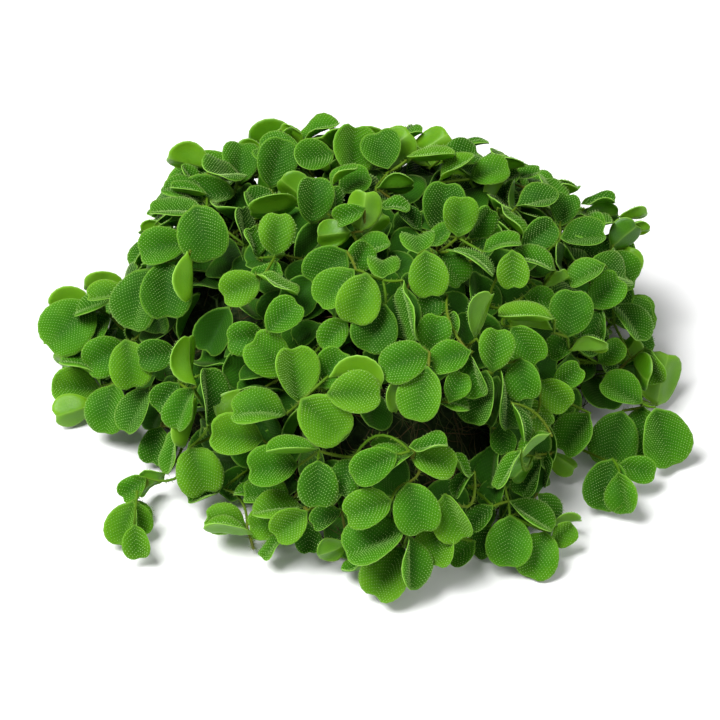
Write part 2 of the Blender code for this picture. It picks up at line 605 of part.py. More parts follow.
def blade_solid(bm, leaf):
    """Add a leaf's solid: a sphere of one belt, moved onto the leaf's rim, crown and keel."""
    made = bmesh.ops.create_uvsphere(bm, u_segments=RIM_POINTS, v_segments=2, radius=1.0)
    made = made["verts"]
    belt = [vert for vert in made if abs(vert.co.z) < 0.5]
    crown, keel = sorted((vert for vert in made if abs(vert.co.z) > 0.5), key=lambda vert: -vert.co.z)
    belt.sort(key=lambda vert: math.atan2(vert.co.x, vert.co.y) % (math.tau - 1e-4))
    for vert, point in zip(belt + [crown, keel], leaf.lens()):
        vert.co = point


def stem_solids(name, links, nodes, collection):
    """A plant's rhizomes and roots as tubes. Where two meet, one ends thinner in the other."""
    curve = bpy.data.curves.new(name, "CURVE")
    curve.dimensions = "3D"
    curve.bevel_depth = STEM_RADIUS
    curve.bevel_resolution = 0
    curve.use_fill_caps = True
    held = []
    for path in stem_paths(links):
        points, radii = list(path), [1.0] * len(path)
        for end, beside in ((0, 1), (-1, -2)):
            if any(same_place(path[end], place) for place in held):
                radii[end] = STEM_END_TAPER
            elif any(same_place(path[end], node) for node in nodes):
                points[end] = path[end] + (path[end] - path[beside]).normalized() * STEM_RADIUS
        held += path
        spline = curve.splines.new("POLY")
        spline.points.add(len(points) - 1)
        for spot, point, radius in zip(spline.points, points, radii):
            spot.co = (*point, 1.0)
            spot.radius = radius
    tube = bpy.data.objects.new(name, curve)
    collection.objects.link(tube)
    depsgraph = bpy.context.evaluated_depsgraph_get()
    bm = bmesh.new()
    bm.from_mesh(bpy.data.meshes.new_from_object(tube.evaluated_get(depsgraph)))
    bmesh.ops.remove_doubles(bm, verts=bm.verts, dist=1e-6)
    bpy.data.objects.remove(tube)
    return mesh_object(name, bm, collection)


def face_outward(bm):
    """Turn every face of a closed solid to point out."""
    bmesh.ops.recalc_face_normals(bm, faces=bm.faces)
    if bm.calc_volume(signed=True) < 0.0:
        bmesh.ops.reverse_faces(bm, faces=bm.faces)


def mesh_object(name, bm, collection):
    """A new object from a bmesh, with its faces pointing out."""
    face_outward(bm)
    mesh = bpy.data.meshes.new(name)
    bm.to_mesh(mesh)
    bm.free()
    thing = bpy.data.objects.new(name, mesh)
    collection.objects.link(thing)
    return thing


def material(name, colour, roughness):
    """A plain material of one colour."""
    made = bpy.data.materials.new(name)
    made.use_nodes = True
    shader = made.node_tree.nodes["Principled BSDF"]
    shader.inputs["Base Color"].default_value = (*colour, 1.0)
    shader.inputs["Roughness"].default_value = roughness
    return made


def plant(name, leaves, links, collection):
    """One plant: its leaves joined to its rhizomes in one solid."""
    bm = bmesh.new()
    for leaf in leaves:
        blade_solid(bm, leaf)
    blades = mesh_object(name, bm, collection)
    if not links:
        return blades
    stems = stem_solids(name + "_stems", links, [leaf.node() for leaf in leaves], collection)
    union = blades.modifiers.new("join", "BOOLEAN")
    union.operation = "UNION"
    union.solver = "EXACT"
    union.use_self = True
    union.object = stems
    joined = bpy.data.meshes.new_from_object(blades.evaluated_get(bpy.context.evaluated_depsgraph_get()))
    blades.modifiers.remove(union)
    blades.data = joined
    merge_short_edges(joined)
    bpy.data.objects.remove(stems)
    return blades


def may_merge(edge):
    """Whether merging an edge's ends keeps the solid closed and turns no face far."""
    first, second = edge.verts
    around = [{link.other_vert(vert) for link in vert.link_edges} for vert in (first, second)]
    if len(around[0] & around[1]) != 2:
        return False
    middle = (first.co + second.co) * 0.5
    for face in set(first.link_faces) ^ set(second.link_faces):
        corners = [middle if vert in (first, second) else vert.co for vert in face.verts]
        normal = (corners[1] - corners[0]).cross(corners[2] - corners[0])
        if normal.length < 1e-9 or normal.normalized().dot(face.normal) < FOLD_OVER:
            return False
    return True


def crosses(bm, edge, middle):
    """Whether merging an edge's ends into their middle would push its faces through others."""
    points = [vert.co for vert in bm.verts] + [middle]
    number = {vert: index for index, vert in enumerate(bm.verts)}
    around = {face for vert in edge.verts for face in vert.link_faces}
    old = [[number[vert] for vert in face.verts] for face in bm.faces if face not in around]
    number.update({vert: len(points) - 1 for vert in edge.verts})
    new = [[number[vert] for vert in face.verts] for face in around - set(edge.link_faces)]
    pairs = BVHTree.FromPolygons(points, new).overlap(BVHTree.FromPolygons(points, old))
    return any(not set(new[first]) & set(old[second]) for first, second in pairs)


def best_ear(bm, face):
    """The two corners beside the best-shaped corner that a new edge may cut off a face."""
    corners = list(face.verts)
    best, best_shape = None, 0.0
    for index, here in enumerate(corners):
        before, after = corners[index - 1], corners[(index + 1) % len(corners)]
        turn = (here.co - before.co).cross(after.co - here.co)
        if turn.dot(face.normal) <= 0.0 or bm.edges.get((before, after)):
            continue
        ear = (before.co, here.co, after.co)
        others = [corner.co for corner in corners if corner not in (before, here, after)]
        if any(intersect_point_tri(other, *ear) for other in others):
            continue
        sides = [(ear[side] - ear[side - 1]).length_squared for side in range(3)]
        shape = turn.length / sum(sides)
        if shape > best_shape:
            best, best_shape = (before, after), shape
    return best


def cut_to_triangles(bm):
    """Cut faces into triangles without using one diagonal for two faces."""
    waiting = [face for face in bm.faces if len(face.verts) > 3]
    while waiting:
        face = waiting.pop()
        ear = best_ear(bm, face)
        if ear is None:
            bmesh.ops.poke(bm, faces=[face])
            continue
        other = bmesh.utils.face_split(face, *ear)[0]
        waiting += [piece for piece in (face, other) if len(piece.verts) > 3]


def merge_short_edges(mesh):
    """Take out the very short edges that joining leaves behind, shortest first."""
    bm = bmesh.new()
    bm.from_mesh(mesh)
    bmesh.ops.dissolve_verts(bm, verts=[vert for vert in bm.verts if len(vert.link_edges) == 2])
    bm.normal_update()
    cut_to_triangles(bm)
    bm.normal_update()
    merged = True
    while merged:
        merged = False
        short = [edge for edge in bm.edges if edge.calc_length() < SHORT_EDGE]
        for edge in sorted(short, key=lambda edge: edge.calc_length()):
            middle = (edge.verts[0].co + edge.verts[1].co) * 0.5
            if may_merge(edge) and not crosses(bm, edge, middle):
                bmesh.ops.pointmerge(bm, verts=list(edge.verts), merge_co=middle)
                bm.normal_update()
                merged = True
                break
    face_outward(bm)
    bm.to_mesh(mesh)
    bm.free()


def root_mat(collection):
    """The mat: a lumpy dome with a flat underside and a hollow in its front."""
    bm = bmesh.new()
    bmesh.ops.create_uvsphere(bm, u_segments=MAT_SEGMENTS, v_segments=MAT_RINGS, radius=1.0)
    everything = bm.verts[:] + bm.edges[:] + bm.faces[:]
    bmesh.ops.bisect_plane(bm, geom=everything, plane_co=(0, 0, 0), plane_no=(0, 0, -1), clear_outer=True)
    bmesh.ops.holes_fill(bm, edges=[edge for edge in bm.edges if edge.is_boundary])
    for vert in bm.verts:
        direction = vert.co.normalized()
        low, high = 0.0, 0.12
        for _ in range(40):
            reach = 0.5 * (low + high)
            if mat_level(direction * reach) < 1.0:
                low = reach
            else:
                high = reach
        heading = math.atan2(direction.y, direction.x)
        lump = math.sin(5.0 * heading + 9.0 * direction.z) * math.sin(7.0 * direction.z + 2.0)
        vert.co = direction * (low - MAT_LUMP * (0.5 + 0.5 * lump))
        if abs(direction.z) < 1e-4:
            vert.co.z = 0.0
    return mesh_object("root_mat", bm, collection)


def clear_scene():
    for thing in list(bpy.data.objects):
        bpy.data.objects.remove(thing)


def main():
    clear_scene()
    collection = bpy.data.collections.new("water_spangles")
    bpy.context.scene.collection.children.link(collection)
    leaf_green = material("leaf_green", (0.10, 0.26, 0.02), 0.5)
    root_brown = material("root_brown", (0.07, 0.08, 0.02), 0.9)

    mat = root_mat(collection)
    mat.data.materials.append(root_brown)
    mat_tree = BVHTree.FromObject(mat, bpy.context.evaluated_depsgraph_get())

    for number, (leaves, links) in enumerate(lay_out(mat_tree), start=1):
        made = plant(f"plant_{number:02d}", leaves, links, collection)
        made.data.materials.clear()
        made.data.materials.append(leaf_green)


main()
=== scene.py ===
"""Looks of the water spangles: every leaf, rhizome and thread as fine mesh on the CAD frame.

Each plant of the frame is replaced by a finer one on the same layout. The layout is worked
out here as the solids' source works it out: leaves on the photograph's lines of sight, leaves
by rule on the hidden sides, and rhizomes between near leaves. More leaves then fill the gaps.
Units are metres, and the axes are the frame's: Z up, X to the right, Y away.
"""

import math
import random

import bpy
import numpy as np
from mathutils import Matrix, Vector, noise
from mathutils.bvhtree import BVHTree


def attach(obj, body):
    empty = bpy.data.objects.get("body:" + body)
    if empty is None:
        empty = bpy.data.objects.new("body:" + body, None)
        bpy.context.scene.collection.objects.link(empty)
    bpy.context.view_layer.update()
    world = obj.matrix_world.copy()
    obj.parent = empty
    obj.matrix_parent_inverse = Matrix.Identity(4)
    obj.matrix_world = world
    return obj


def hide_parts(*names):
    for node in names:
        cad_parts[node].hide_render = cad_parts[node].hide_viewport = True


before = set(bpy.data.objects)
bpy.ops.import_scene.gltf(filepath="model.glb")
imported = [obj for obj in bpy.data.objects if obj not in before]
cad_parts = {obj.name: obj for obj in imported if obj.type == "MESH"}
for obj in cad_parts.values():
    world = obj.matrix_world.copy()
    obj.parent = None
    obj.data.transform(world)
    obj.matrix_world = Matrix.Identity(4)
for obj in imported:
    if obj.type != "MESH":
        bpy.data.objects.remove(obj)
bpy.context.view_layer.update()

# The heap: its height, how square its shoulders are, and its radius every 30 degrees
# from +X towards +Y
HEAP_HEIGHT = 0.060
HEAP_SQUARENESS = 2.4
HEAP_RADII = (0.073, 0.078, 0.074, 0.070, 0.072, 0.074, 0.073, 0.059, 0.057, 0.073, 0.072, 0.062)

# The mat of root-like leaves that fills the heap, and the hollow in its front
MAT_DEPTH = 0.0200
HOLLOW_CENTRE = Vector((0.023, -0.036, 0.027))
HOLLOW_SPREAD = 0.012
HOLLOW_DEPTH = 0.32

# One leaf: shares of its length or width, degrees, and the angles that dents spread over
LEAF_WIDTH_SHARE = 0.92
LEAF_WIDTHS = (0.95, 1.05)
LEAF_THICKNESS = 0.0009
LEAF_SHORTEST = 0.0070
LEAF_LONGEST = 0.0150
LEAF_FOLDS = (12.0, 44.0)
LEAF_CURLS = (-22.0, 48.0)
LEAF_NOTCHES = (0.05, 0.21)
LEAF_LEAST_CURL = 0.01
RIM_POINTS = 8
RIM_CROWDING = 0.93
RIM_NARROWER_AT_BASE = 0.13
BASE_DENT = 0.07
BASE_DENT_SPREAD = 0.45
NOTCH_SPREAD = 0.27
PETIOLE = 0.0008
PETIOLE_SPREAD = 0.20
FOLD_SOFTNESS = 0.0013
FOLD_FADE = 0.40

# Leaves only meet if their middles are nearer than this share of their lengths together
NEIGHBOUR_SHARE = 0.6

# Rhizomes and roots, the gaps that pieces keep, and how many leaves a plant has
STEM_RADIUS = 0.00050
STEM_ROOM = 0.00055
NODE_CLEARANCE = 0.0022
STRETCH_LEAST = 2.2 * NODE_CLEARANCE
GAP = 0.0003
MAT_CLEARANCE = 0.0008
LINK_LEAST = 2.0 * STEM_RADIUS
LINK_REACH = 0.024
LINK_UNDER_BLADE_COST = 0.6
PLANT_LEAVES = 6
PLANT_LEAVES_MOST = 11
PLANTS_MOST = 58
ROOT_LEANS = ((0, 0), (0.5, 0), (-0.5, 0), (0, 0.5), (0, -0.5), (0.9, 0.9), (-0.9, 0.9))
ROOT_LEAST = 4.0 * STEM_RADIUS
ROOT_END_GAP = 1.2 * STEM_RADIUS

# The photograph's view: real size of one of its pixels at the clump, and the camera's
# distance, height angle, aim above the surface and middle pixel
PIXEL = 0.00024
VIEW_DISTANCE = 0.60
VIEW_ELEVATION = math.radians(40.0)
VIEW_AIM = Vector((0.0, 0.0, 0.0125))
VIEW_MIDDLE = 360.0
SIGHT_STEP = 0.0005
SIGHT_START = 0.45
SIGHT_END = 0.75
FLOOR_CENTRE_HEIGHT = 0.0060

# How far under the heap's outer form each layer of leaves has its middle
LAYER_INSETS = (0.07, 0.14)
INNER = 1
ON_FLOOR = 2

# Leaves read from the photograph. Each row is the base and the tip in the
# photograph's pixels, the turn about the midrib and the nod of the tip towards the
# camera in degrees, and the layer: 0 outer, 1 inner, 2 lying on the surface.
SEEN_LEAVES = (
    (210, 168, 166, 158, 135, 5, 0), (234, 165, 193, 170, 40, 0, 0),
    (196, 187, 181, 166, 60, 0, 1), (205, 197, 168, 189, 75, 0, 0), (204, 212, 148, 211, 68, 0, 0),
    (168, 238, 138, 228, 130, 0, 1), (187, 242, 138, 254, 25, 0, 0),
    (194, 206, 213, 261, 10, 10, 0), (192, 252, 192, 305, 105, 0, 0),
    (165, 262, 167, 322, 0, 10, 0), (148, 268, 130, 333, 35, 0, 1), (150, 285, 160, 336, 50, 0, 1),
    (125, 290, 83, 285, 125, 0, 1), (124, 294, 86, 298, 50, 0, 0), (92, 302, 47, 308, 130, 0, 1),
    (92, 306, 46, 347, 20, 0, 0), (84, 314, 40, 342, 60, 0, 1), (262, 168, 236, 144, 150, 0, 1),
    (270, 187, 284, 137, 0, 0, 0), (298, 142, 282, 130, 120, 0, 1),
    (300, 141, 341, 122, -70, 0, 0), (302, 150, 338, 152, -140, 0, 1),
    (352, 178, 354, 122, 30, -10, 0), (303, 160, 330, 172, -120, 0, 1),
    (338, 165, 307, 160, 50, 0, 1), (331, 183, 358, 167, -75, 0, 0),
    (340, 190, 372, 175, -30, 0, 1), (312, 222, 314, 176, 15, 0, 0),
    (335, 214, 334, 186, 60, 0, 1), (310, 203, 280, 178, 150, 0, 1),
    (300, 206, 247, 216, 120, 0, 1), (275, 255, 279, 211, 0, -5, 0),
    (258, 256, 248, 226, 50, 0, 1), (350, 232, 316, 236, 170, 0, 1),
    (360, 230, 367, 189, 175, 0, 0), (358, 242, 386, 212, -150, 0, 1),
    (362, 210, 335, 222, 20, 0, 0), (345, 252, 308, 284, 5, 0, 0), (350, 272, 368, 242, 20, 0, 1),
    (355, 272, 318, 307, 30, 0, 0), (250, 280, 284, 272, -55, 0, 1),
    (260, 280, 220, 298, 15, 0, 0), (258, 276, 299, 296, -75, 0, 0),
    (373, 164, 412, 131, 165, 0, 0), (410, 158, 449, 134, 160, 0, 0),
    (408, 162, 458, 158, -78, 0, 0), (441, 180, 477, 156, -72, 0, 0),
    (455, 184, 476, 163, -140, 0, 1), (471, 177, 510, 166, -35, 0, 0),
    (475, 154, 447, 148, 70, 0, 1), (456, 150, 490, 141, -80, 0, 1),
    (378, 188, 416, 186, -125, 0, 1), (382, 206, 410, 208, -60, 0, 1),
    (440, 234, 447, 180, 0, 0, 1), (458, 235, 461, 195, 12, 0, 0), (470, 238, 492, 206, 30, 0, 1),
    (418, 253, 417, 233, 0, -60, 0), (436, 244, 450, 228, -40, 0, 1),
    (383, 277, 384, 257, 0, -58, 0), (352, 262, 389, 240, -50, 0, 1),
    (425, 252, 432, 300, 0, 10, 0), (440, 252, 464, 285, -25, 0, 1),
    (452, 247, 497, 273, -78, 0, 0), (484, 248, 522, 238, -60, 0, 0),
    (512, 252, 514, 291, 0, 10, 0), (555, 266, 506, 256, 65, 0, 0),
    (499, 210, 524, 237, -75, 0, 0), (490, 204, 505, 176, -120, 0, 1),
    (514, 214, 513, 178, -80, 0, 1), (512, 182, 543, 172, -65, 0, 1),
    (518, 206, 560, 196, -55, 0, 0), (560, 225, 568, 192, 0, -25, 0),
    (585, 204, 616, 200, -70, 0, 1), (585, 218, 620, 214, -135, 0, 1),
    (620, 220, 649, 214, -115, 0, 0), (628, 232, 647, 230, -120, 0, 1),
    (522, 246, 556, 222, 10, 0, 0), (562, 240, 608, 234, -45, 0, 0),
    (612, 246, 638, 224, -150, 0, 1), (620, 282, 632, 246, 160, 0, 0),
    (598, 268, 616, 251, 60, 0, 0), (604, 266, 568, 284, 45, 0, 0), (590, 306, 622, 276, 0, 0, 0),
    (546, 288, 569, 277, -120, 0, 1), (99, 389, 50, 388, 15, 0, 0), (92, 405, 52, 418, 165, 0, 1),
    (112, 384, 104, 435, 30, 5, 0), (125, 341, 135, 390, 0, 5, 0), (125, 345, 84, 368, 10, 0, 1),
    (105, 379, 60, 357, 70, 0, 0), (80, 372, 54, 352, 130, 0, 1), (108, 316, 80, 348, 40, 0, 1),
    (175, 352, 136, 358, 0, 0, 1), (178, 385, 155, 410, 15, 0, 1), (148, 389, 124, 434, 50, 0, 0),
    (191, 386, 187, 334, -120, 0, 0), (208, 424, 206, 366, 50, 0, 0),
    (191, 388, 174, 432, 35, 0, 0), (199, 400, 184, 450, 110, 0, 1),
    (180, 430, 170, 477, 70, 0, 0), (160, 428, 152, 466, 20, 0, 1), (190, 447, 208, 497, 0, 5, 0),
    (262, 440, 207, 434, 15, 0, 0), (285, 411, 229, 412, 45, 0, 0),
    (250, 394, 219, 422, 150, 0, 1), (286, 372, 250, 338, 0, 0, 1), (298, 402, 290, 343, 20, 0, 0),
    (318, 386, 344, 350, 0, 0, 1), (330, 372, 386, 382, -125, 0, 1),
    (328, 394, 382, 394, -20, 0, 0), (303, 401, 345, 438, 0, 0, 0), (264, 336, 226, 341, 0, 0, 1),
    (268, 330, 300, 302, -15, 0, 0), (334, 320, 336, 294, 60, 0, 1), (366, 275, 352, 325, 0, 5, 0),
    (385, 305, 365, 353, 0, 0, 1), (346, 322, 322, 349, 20, 0, 1), (428, 353, 380, 372, 20, 0, 0),
    (405, 281, 419, 344, 75, 0, 0), (445, 296, 420, 314, 15, 0, 1), (430, 352, 438, 314, 0, 0, 0),
    (448, 350, 452, 309, -40, 0, 1), (470, 352, 429, 366, 25, 0, 0),
    (428, 368, 414, 422, 20, 0, 0), (408, 372, 396, 416, 110, 0, 1),
    (446, 402, 465, 406, -60, 0, 1), (450, 399, 462, 372, 10, 0, 0),
    (470, 356, 482, 398, 40, 0, 0), (486, 372, 474, 426, 40, 0, 1), (492, 371, 498, 326, 10, 0, 0),
    (474, 336, 491, 290, -115, 0, 0), (553, 322, 495, 318, 70, 0, 0),
    (553, 328, 506, 324, 110, 0, 1), (512, 328, 540, 364, 10, 0, 0),
    (520, 360, 526, 402, 10, 0, 0), (502, 366, 508, 432, -55, 0, 1),
    (513, 405, 525, 444, -75, 0, 0), (524, 402, 550, 428, 20, 0, 1), (541, 382, 570, 408, 5, 0, 0),
    (555, 386, 582, 366, 0, 0, 0), (568, 336, 574, 288, 0, 0, 0), (527, 296, 555, 304, -30, 0, 1),
    (600, 310, 592, 345, 30, 0, 1), (571, 350, 610, 350, -115, 0, 0),
    (575, 338, 546, 354, 20, 0, 1), (600, 362, 622, 342, 10, 0, 1),
    (618, 362, 638, 338, 150, 0, 1), (655, 404, 668, 352, -150, 0, 1),
    (644, 350, 660, 384, 30, 0, 1), (618, 372, 654, 388, 170, 0, 1),
    (641, 403, 600, 380, 30, 0, 0), (614, 316, 657, 312, -10, 0, 0),
    (590, 415, 560, 455, 30, 0, 0), (548, 438, 576, 406, -60, 0, 1),
    (550, 452, 577, 470, 150, 0, 1), (548, 455, 540, 488, 40, 0, 1),
    (540, 460, 520, 498, 30, 0, 1), (522, 452, 497, 492, 70, 0, 0), (548, 434, 520, 458, 75, 0, 0),
    (530, 460, 512, 480, 150, 0, 1), (500, 425, 508, 455, 10, 0, 1),
    (297, 466, 245, 472, 20, 0, 0), (317, 452, 264, 453, 70, 0, 0), (318, 461, 318, 509, 0, 0, 0),
    (352, 458, 340, 498, 25, 0, 1), (395, 454, 352, 478, 10, 0, 0), (412, 452, 367, 470, 45, 0, 0),
    (410, 448, 368, 446, 65, 0, 1), (412, 450, 449, 443, -60, 0, 0),
    (413, 456, 457, 468, -20, 0, 0), (448, 456, 468, 478, -70, 0, 1),
    (468, 475, 455, 494, 60, 0, 1), (408, 484, 424, 536, 0, 0, 0), (390, 500, 344, 518, 10, 0, 0),
    (404, 530, 343, 556, 35, 0, 0), (402, 548, 372, 600, 25, 0, 0),
    (408, 536, 410, 592, -50, 0, 0), (440, 520, 435, 569, 20, 0, 0),
    (444, 496, 464, 541, 25, 0, 0), (470, 545, 452, 560, 20, 0, 1), (488, 510, 471, 526, 20, 0, 1),
    (510, 517, 508, 569, 0, 5, 0), (545, 532, 530, 580, 0, 0, 1), (509, 504, 554, 532, -55, 0, 0),
    (553, 524, 582, 518, -110, 0, 1), (553, 542, 572, 526, 20, 0, 0),
    (302, 506, 250, 512, 55, 0, 0), (288, 522, 247, 528, 15, 0, 1), (306, 512, 272, 538, 0, 0, 0),
    (222, 490, 186, 502, 50, 0, 1), (262, 494, 234, 492, 60, 0, 1), (290, 498, 242, 494, 40, 0, 1),
    (245, 525, 203, 518, 30, 0, 0), (250, 535, 202, 530, 80, 0, 0), (278, 541, 266, 555, 60, 0, 1),
    (308, 526, 310, 553, 10, 0, 1), (338, 512, 313, 526, 30, 0, 1),
    (347, 545, 317, 556, 140, 0, 1), (365, 568, 346, 572, 70, 0, 1), (622, 412, 606, 469, 0, 5, 2),
    (642, 408, 645, 457, 25, 0, 2), (654, 408, 672, 468, -20, 0, 2), (612, 460, 600, 512, 0, 5, 2),
    (620, 466, 656, 474, -10, 0, 2), (619, 474, 626, 515, 30, 0, 2),
    (165, 474, 136, 494, 130, 0, 2), (138, 484, 127, 494, 20, 0, 2),
    (132, 503, 120, 546, 30, 0, 2), (137, 503, 142, 537, 0, 0, 2), (134, 498, 151, 528, -70, 0, 2),
    (134, 526, 140, 560, 10, 0, 2),
)

# The clump's outline in the photograph, which no leaf placed by rule passes
SEEN_OUTLINE = (
    (162, 150), (240, 136), (300, 122), (345, 119), (450, 127), (512, 156), (562, 178), (648, 206),
    (652, 240), (634, 288), (660, 300), (656, 346), (674, 375), (666, 404), (686, 428), (676, 467),
    (655, 500), (625, 516), (588, 506), (583, 452), (545, 488), (583, 518), (558, 578), (510, 584),
    (425, 572), (385, 602), (348, 582), (318, 564), (270, 557), (203, 538), (163, 480), (148, 450),
    (105, 436), (48, 425), (46, 350), (36, 340), (46, 300), (82, 283), (120, 290), (138, 230),
)

# Leaves on the sides that the photograph hides, by rule: places on a spiral from the top
# down, and how far a place may face the camera
SPIRAL_PLACES = 220
SPIRAL_TURN = math.pi * (3.0 - math.sqrt(5.0))
SPIRAL_TRIES = 12
SPIRAL_SEEDS = 10000
SPIRAL_LENGTHS = (0.0102, 0.0132)
SPIRAL_INSET = 0.07
SPIRAL_FACES_CAMERA = 0.42
SPIRAL_LEAN = 0.75
SPIRAL_LIFT = 0.5

# Small changes tried when a leaf meets another: pushes along the line of sight, then
# changes of turn and nod in degrees, then of size
PUSHES = (0.0, 0.0012, -0.0012, 0.0024, 0.0036, -0.0024, 0.0050, 0.0065, 0.0080, 0.0100)
TILTS = ((0, 0), (12, 0), (-12, 0), (0, 12), (0, -12), (24, 0), (-24, 0), (14, 20), (-14, -20),
         (0, 30))
SHRINKS = (1.0, 0.86, 0.72)

# Bows of the rhizomes: the first tried on a long one, then those tried when others are
# barred, each in several ways: shares inward and to the side
LONG_LINK = 0.0095
FIRST_BOW = 0.0025
BOWS = (0.002, 0.004, 0.006, 0.008)
BOW_WAYS = ((1.0, 0.0), (0.0, 1.0), (0.0, -1.0), (1.0, 0.7), (1.0, -0.7))

# Leaves that the frame has no room for, in the gaps: rows read from the photograph deeper
# in the heap, then passes by rule, each with its depth, its number of places and how far a
# place may face the camera. Seeds keep their draws apart from those of the frame's leaves,
# a gap below 0 lets them touch, and the dark hollow that the camera sees stays open.
DEEP_PUSH = 0.006
DEEP_SEED = 500
DEEP_LEAVES = (
    (300, 150, 246, 138, 125, 0), (284, 256, 243, 264, 40, 0), (246, 244, 240, 205, 60, 0),
    (312, 276, 290, 316, 10, 0), (444, 228, 421, 218, 30, 0), (418, 228, 402, 210, 40, 0),
    (472, 258, 490, 246, -40, 0), (165, 400, 148, 432, 40, 0), (278, 372, 238, 378, 60, 0),
    (282, 392, 235, 390, 70, 0), (318, 326, 296, 340, 30, 0), (408, 290, 400, 342, 30, 0),
    (466, 344, 466, 311, 20, 0), (498, 378, 486, 428, 50, 0), (495, 445, 490, 490, 50, 0),
    (250, 468, 224, 498, 20, 0), (502, 480, 484, 508, 20, 0), (494, 528, 474, 556, 10, 0),
)
FILL_PASSES = ((0.07, 300, 0.25), (0.13, 330, 0.25), (0.20, 300, 0.45), (0.27, 240, 2.0))
FILL_GAP = -0.0004
FILL_SEEDS = 100
FILL_REACH = 0.020
FILL_NEIGHBOURS = 6
HOLLOW_PIXEL = (460.0, 432.0)
HOLLOW_REACH = 44.0

# Where the photograph shows leaves lighter and darker than their neighbours, in its pixels
# The tones given at these places are partly the leaves' own and partly painted light and shade.
PALE_AND_LIT_PLACES = (
    (190, 157), (152, 233), (192, 279), (104, 288), (69, 305), (271, 144), (290, 136), (319, 151),
    (364, 210), (392, 147), (430, 146), (433, 158), (465, 173), (497, 190), (634, 217), (626, 264),
    (557, 282), (72, 411), (67, 362), (189, 360), (234, 408), (191, 425), (358, 377), (402, 394),
    (482, 313), (529, 326), (590, 350), (628, 350), (661, 378), (563, 461), (567, 521), (226, 532),
    (289, 525), (267, 525), (555, 395), (537, 415), (276, 509), (430, 276), (359, 300), (355, 394),
    (294, 372), (460, 215), (513, 271), (435, 462), (437, 545), (387, 574), (454, 518), (130, 366),
    (75, 388), (140, 520), (137, 543), (323, 420), (234, 437), (199, 472), (279, 232), (242, 290),
)
DARK_AND_SHADED_PLACES = (
    (278, 162), (313, 199), (166, 292), (203, 233), (139, 300), (155, 310), (326, 268), (445, 207),
    (155, 355), (166, 398), (136, 411), (156, 447), (207, 395), (318, 485), (346, 478), (571, 312),
    (596, 328), (614, 440), (606, 486), (504, 440), (480, 399), (505, 399), (530, 479), (307, 333),
    (325, 519), (309, 540), (222, 483), (397, 187), (601, 216), (625, 235), (636, 380), (525, 235),
    (545, 200), (585, 237), (565, 205), (479, 518), (510, 430), (440, 300), (375, 330),
)

# How near to such a place a leaf's middle must be, the tones there, which are partly the leaves'
# own and partly painted light and shade, the painted shade deep in the heap, how far tones differ
# by chance and what share of that stays there, and the depth of the darkest painted shade
TONE_REACH = 15.0
PALE_AND_LIT_TONE = 0.62
DARK_AND_SHADED_TONE = -0.65
DEEP_SHADE_TONE = -1.10
TONE_SPREAD = 0.25
TONE_KEPT = 0.5
SHADE_DEPTH = 0.2

# The fine blade: points round its rim, rings from its middle, thickness in the middle and
# at the rim, the swell of each half, how far the rim turns up, its waves, and how close to
# the rim the lip, the waves and the stalk keep
BLADE_SIDES = 26
BLADE_RINGS = (0.22, 0.45, 0.68, 0.87, 1.0)
BLADE_THICK = 0.00045
BLADE_THIN = 0.00018
BLADE_SWELL = (0.0004, 0.0015)
BLADE_LIP = (-0.0001, 0.0009)
BLADE_WAVE = (0.0001, 0.0006)
BLADE_WAVES = (2, 3, 3, 4)
SWELL_GAIN = 3.0
LIP_POWER = 8
WAVE_POWER = 4
STALK_POWER = 6

# The tufts of hairs in rows on a blade's upper side: from row to row, from tuft to tuft, how
# steeply rows run to the tip and how much steeper for each metre out, how far a row is
# shifted against the last, height, how that differs from leaf to leaf, from tuft to tuft and
# in the groove, spread of a tuft's three tips and how much lower each is than the last, lean,
# depth of its root, how near the rim tufts stand, how far they are off their places, the step
# that the blade's slope is taken over, how deep in the heap leaves still have tufts, and the
# shares of a leaf's width and length that its rows are tried over
TUFT_ROWS = 0.00084
TUFT_SPACING = 0.00046
TUFT_SLOPE = 0.50
TUFT_BEND = 60.0
TUFT_STAGGER = 0.38
TUFT_FIRST = 0.60
TUFT_HEIGHT = 0.00050
TUFT_VIGOUR = (0.60, 1.15)
TUFT_HEIGHTS = (0.75, 1.25)
TUFT_IN_GROOVE = 0.45
TUFT_SPREAD = 0.00009
TUFT_TIP_DROP = 0.125
TUFT_LEAN = 0.35
TUFT_ROOT = 0.00010
TUFT_LIMIT = 0.95
TUFT_JITTER = 0.00007
TUFT_STEP = 0.00005
TUFT_DEEPEST = 0.80
TUFT_ACROSS = 0.55
TUFT_ALONG = 0.9

# How much narrower a painted dot is from row to row, in steps of its own row
DOT_SQUEEZE = 1.35

# Rhizomes: sides and steps of a tube, how thin its ends and the whole are, how its thickness
# differs, how far it wanders, and its hairs: number, length, width, lean, how far out of the
# middle they root, how far before the last point they end, and the corners of one
STEM_SIDES = 6
STEM_STEPS = 7
STEM_THIN = 0.75
STEM_SLIM = 0.74
STEM_UNEVEN = (0.9, 1.1)
STEM_WANDER = 0.0004
STEM_HAIRS_PER_METRE = 2600
STEM_HAIR_LENGTHS = (0.0005, 0.0012)
STEM_HAIR_WIDTH = 0.00009
STEM_HAIR_LEAN = 0.5
STEM_HAIR_ROOT = 0.6
STEM_HAIR_END = 0.001
HAIR_CORNERS = ((1.0, 0.0), (-0.5, 0.87), (-0.5, -0.87))

# The threads of the mat: number, sides, steps, length, half thickness, how much thinner their
# ends are, how they wander, how low they gather, how far they stand off the mat, how rough
# they are and how far they sink in
THREADS = 900
THREAD_SIDES = 3
THREAD_STEPS = 9
THREAD_LENGTHS = (0.010, 0.030)
THREAD_WIDTHS = (0.00010, 0.00022)
THREAD_TAPER = 0.6
THREAD_WANDER = 0.55
THREAD_LOWNESS = 1.3
THREAD_LIFTS = (0.0002, 0.0030)
THREAD_ROUGH = 0.0008
THREAD_SINK = 0.0006

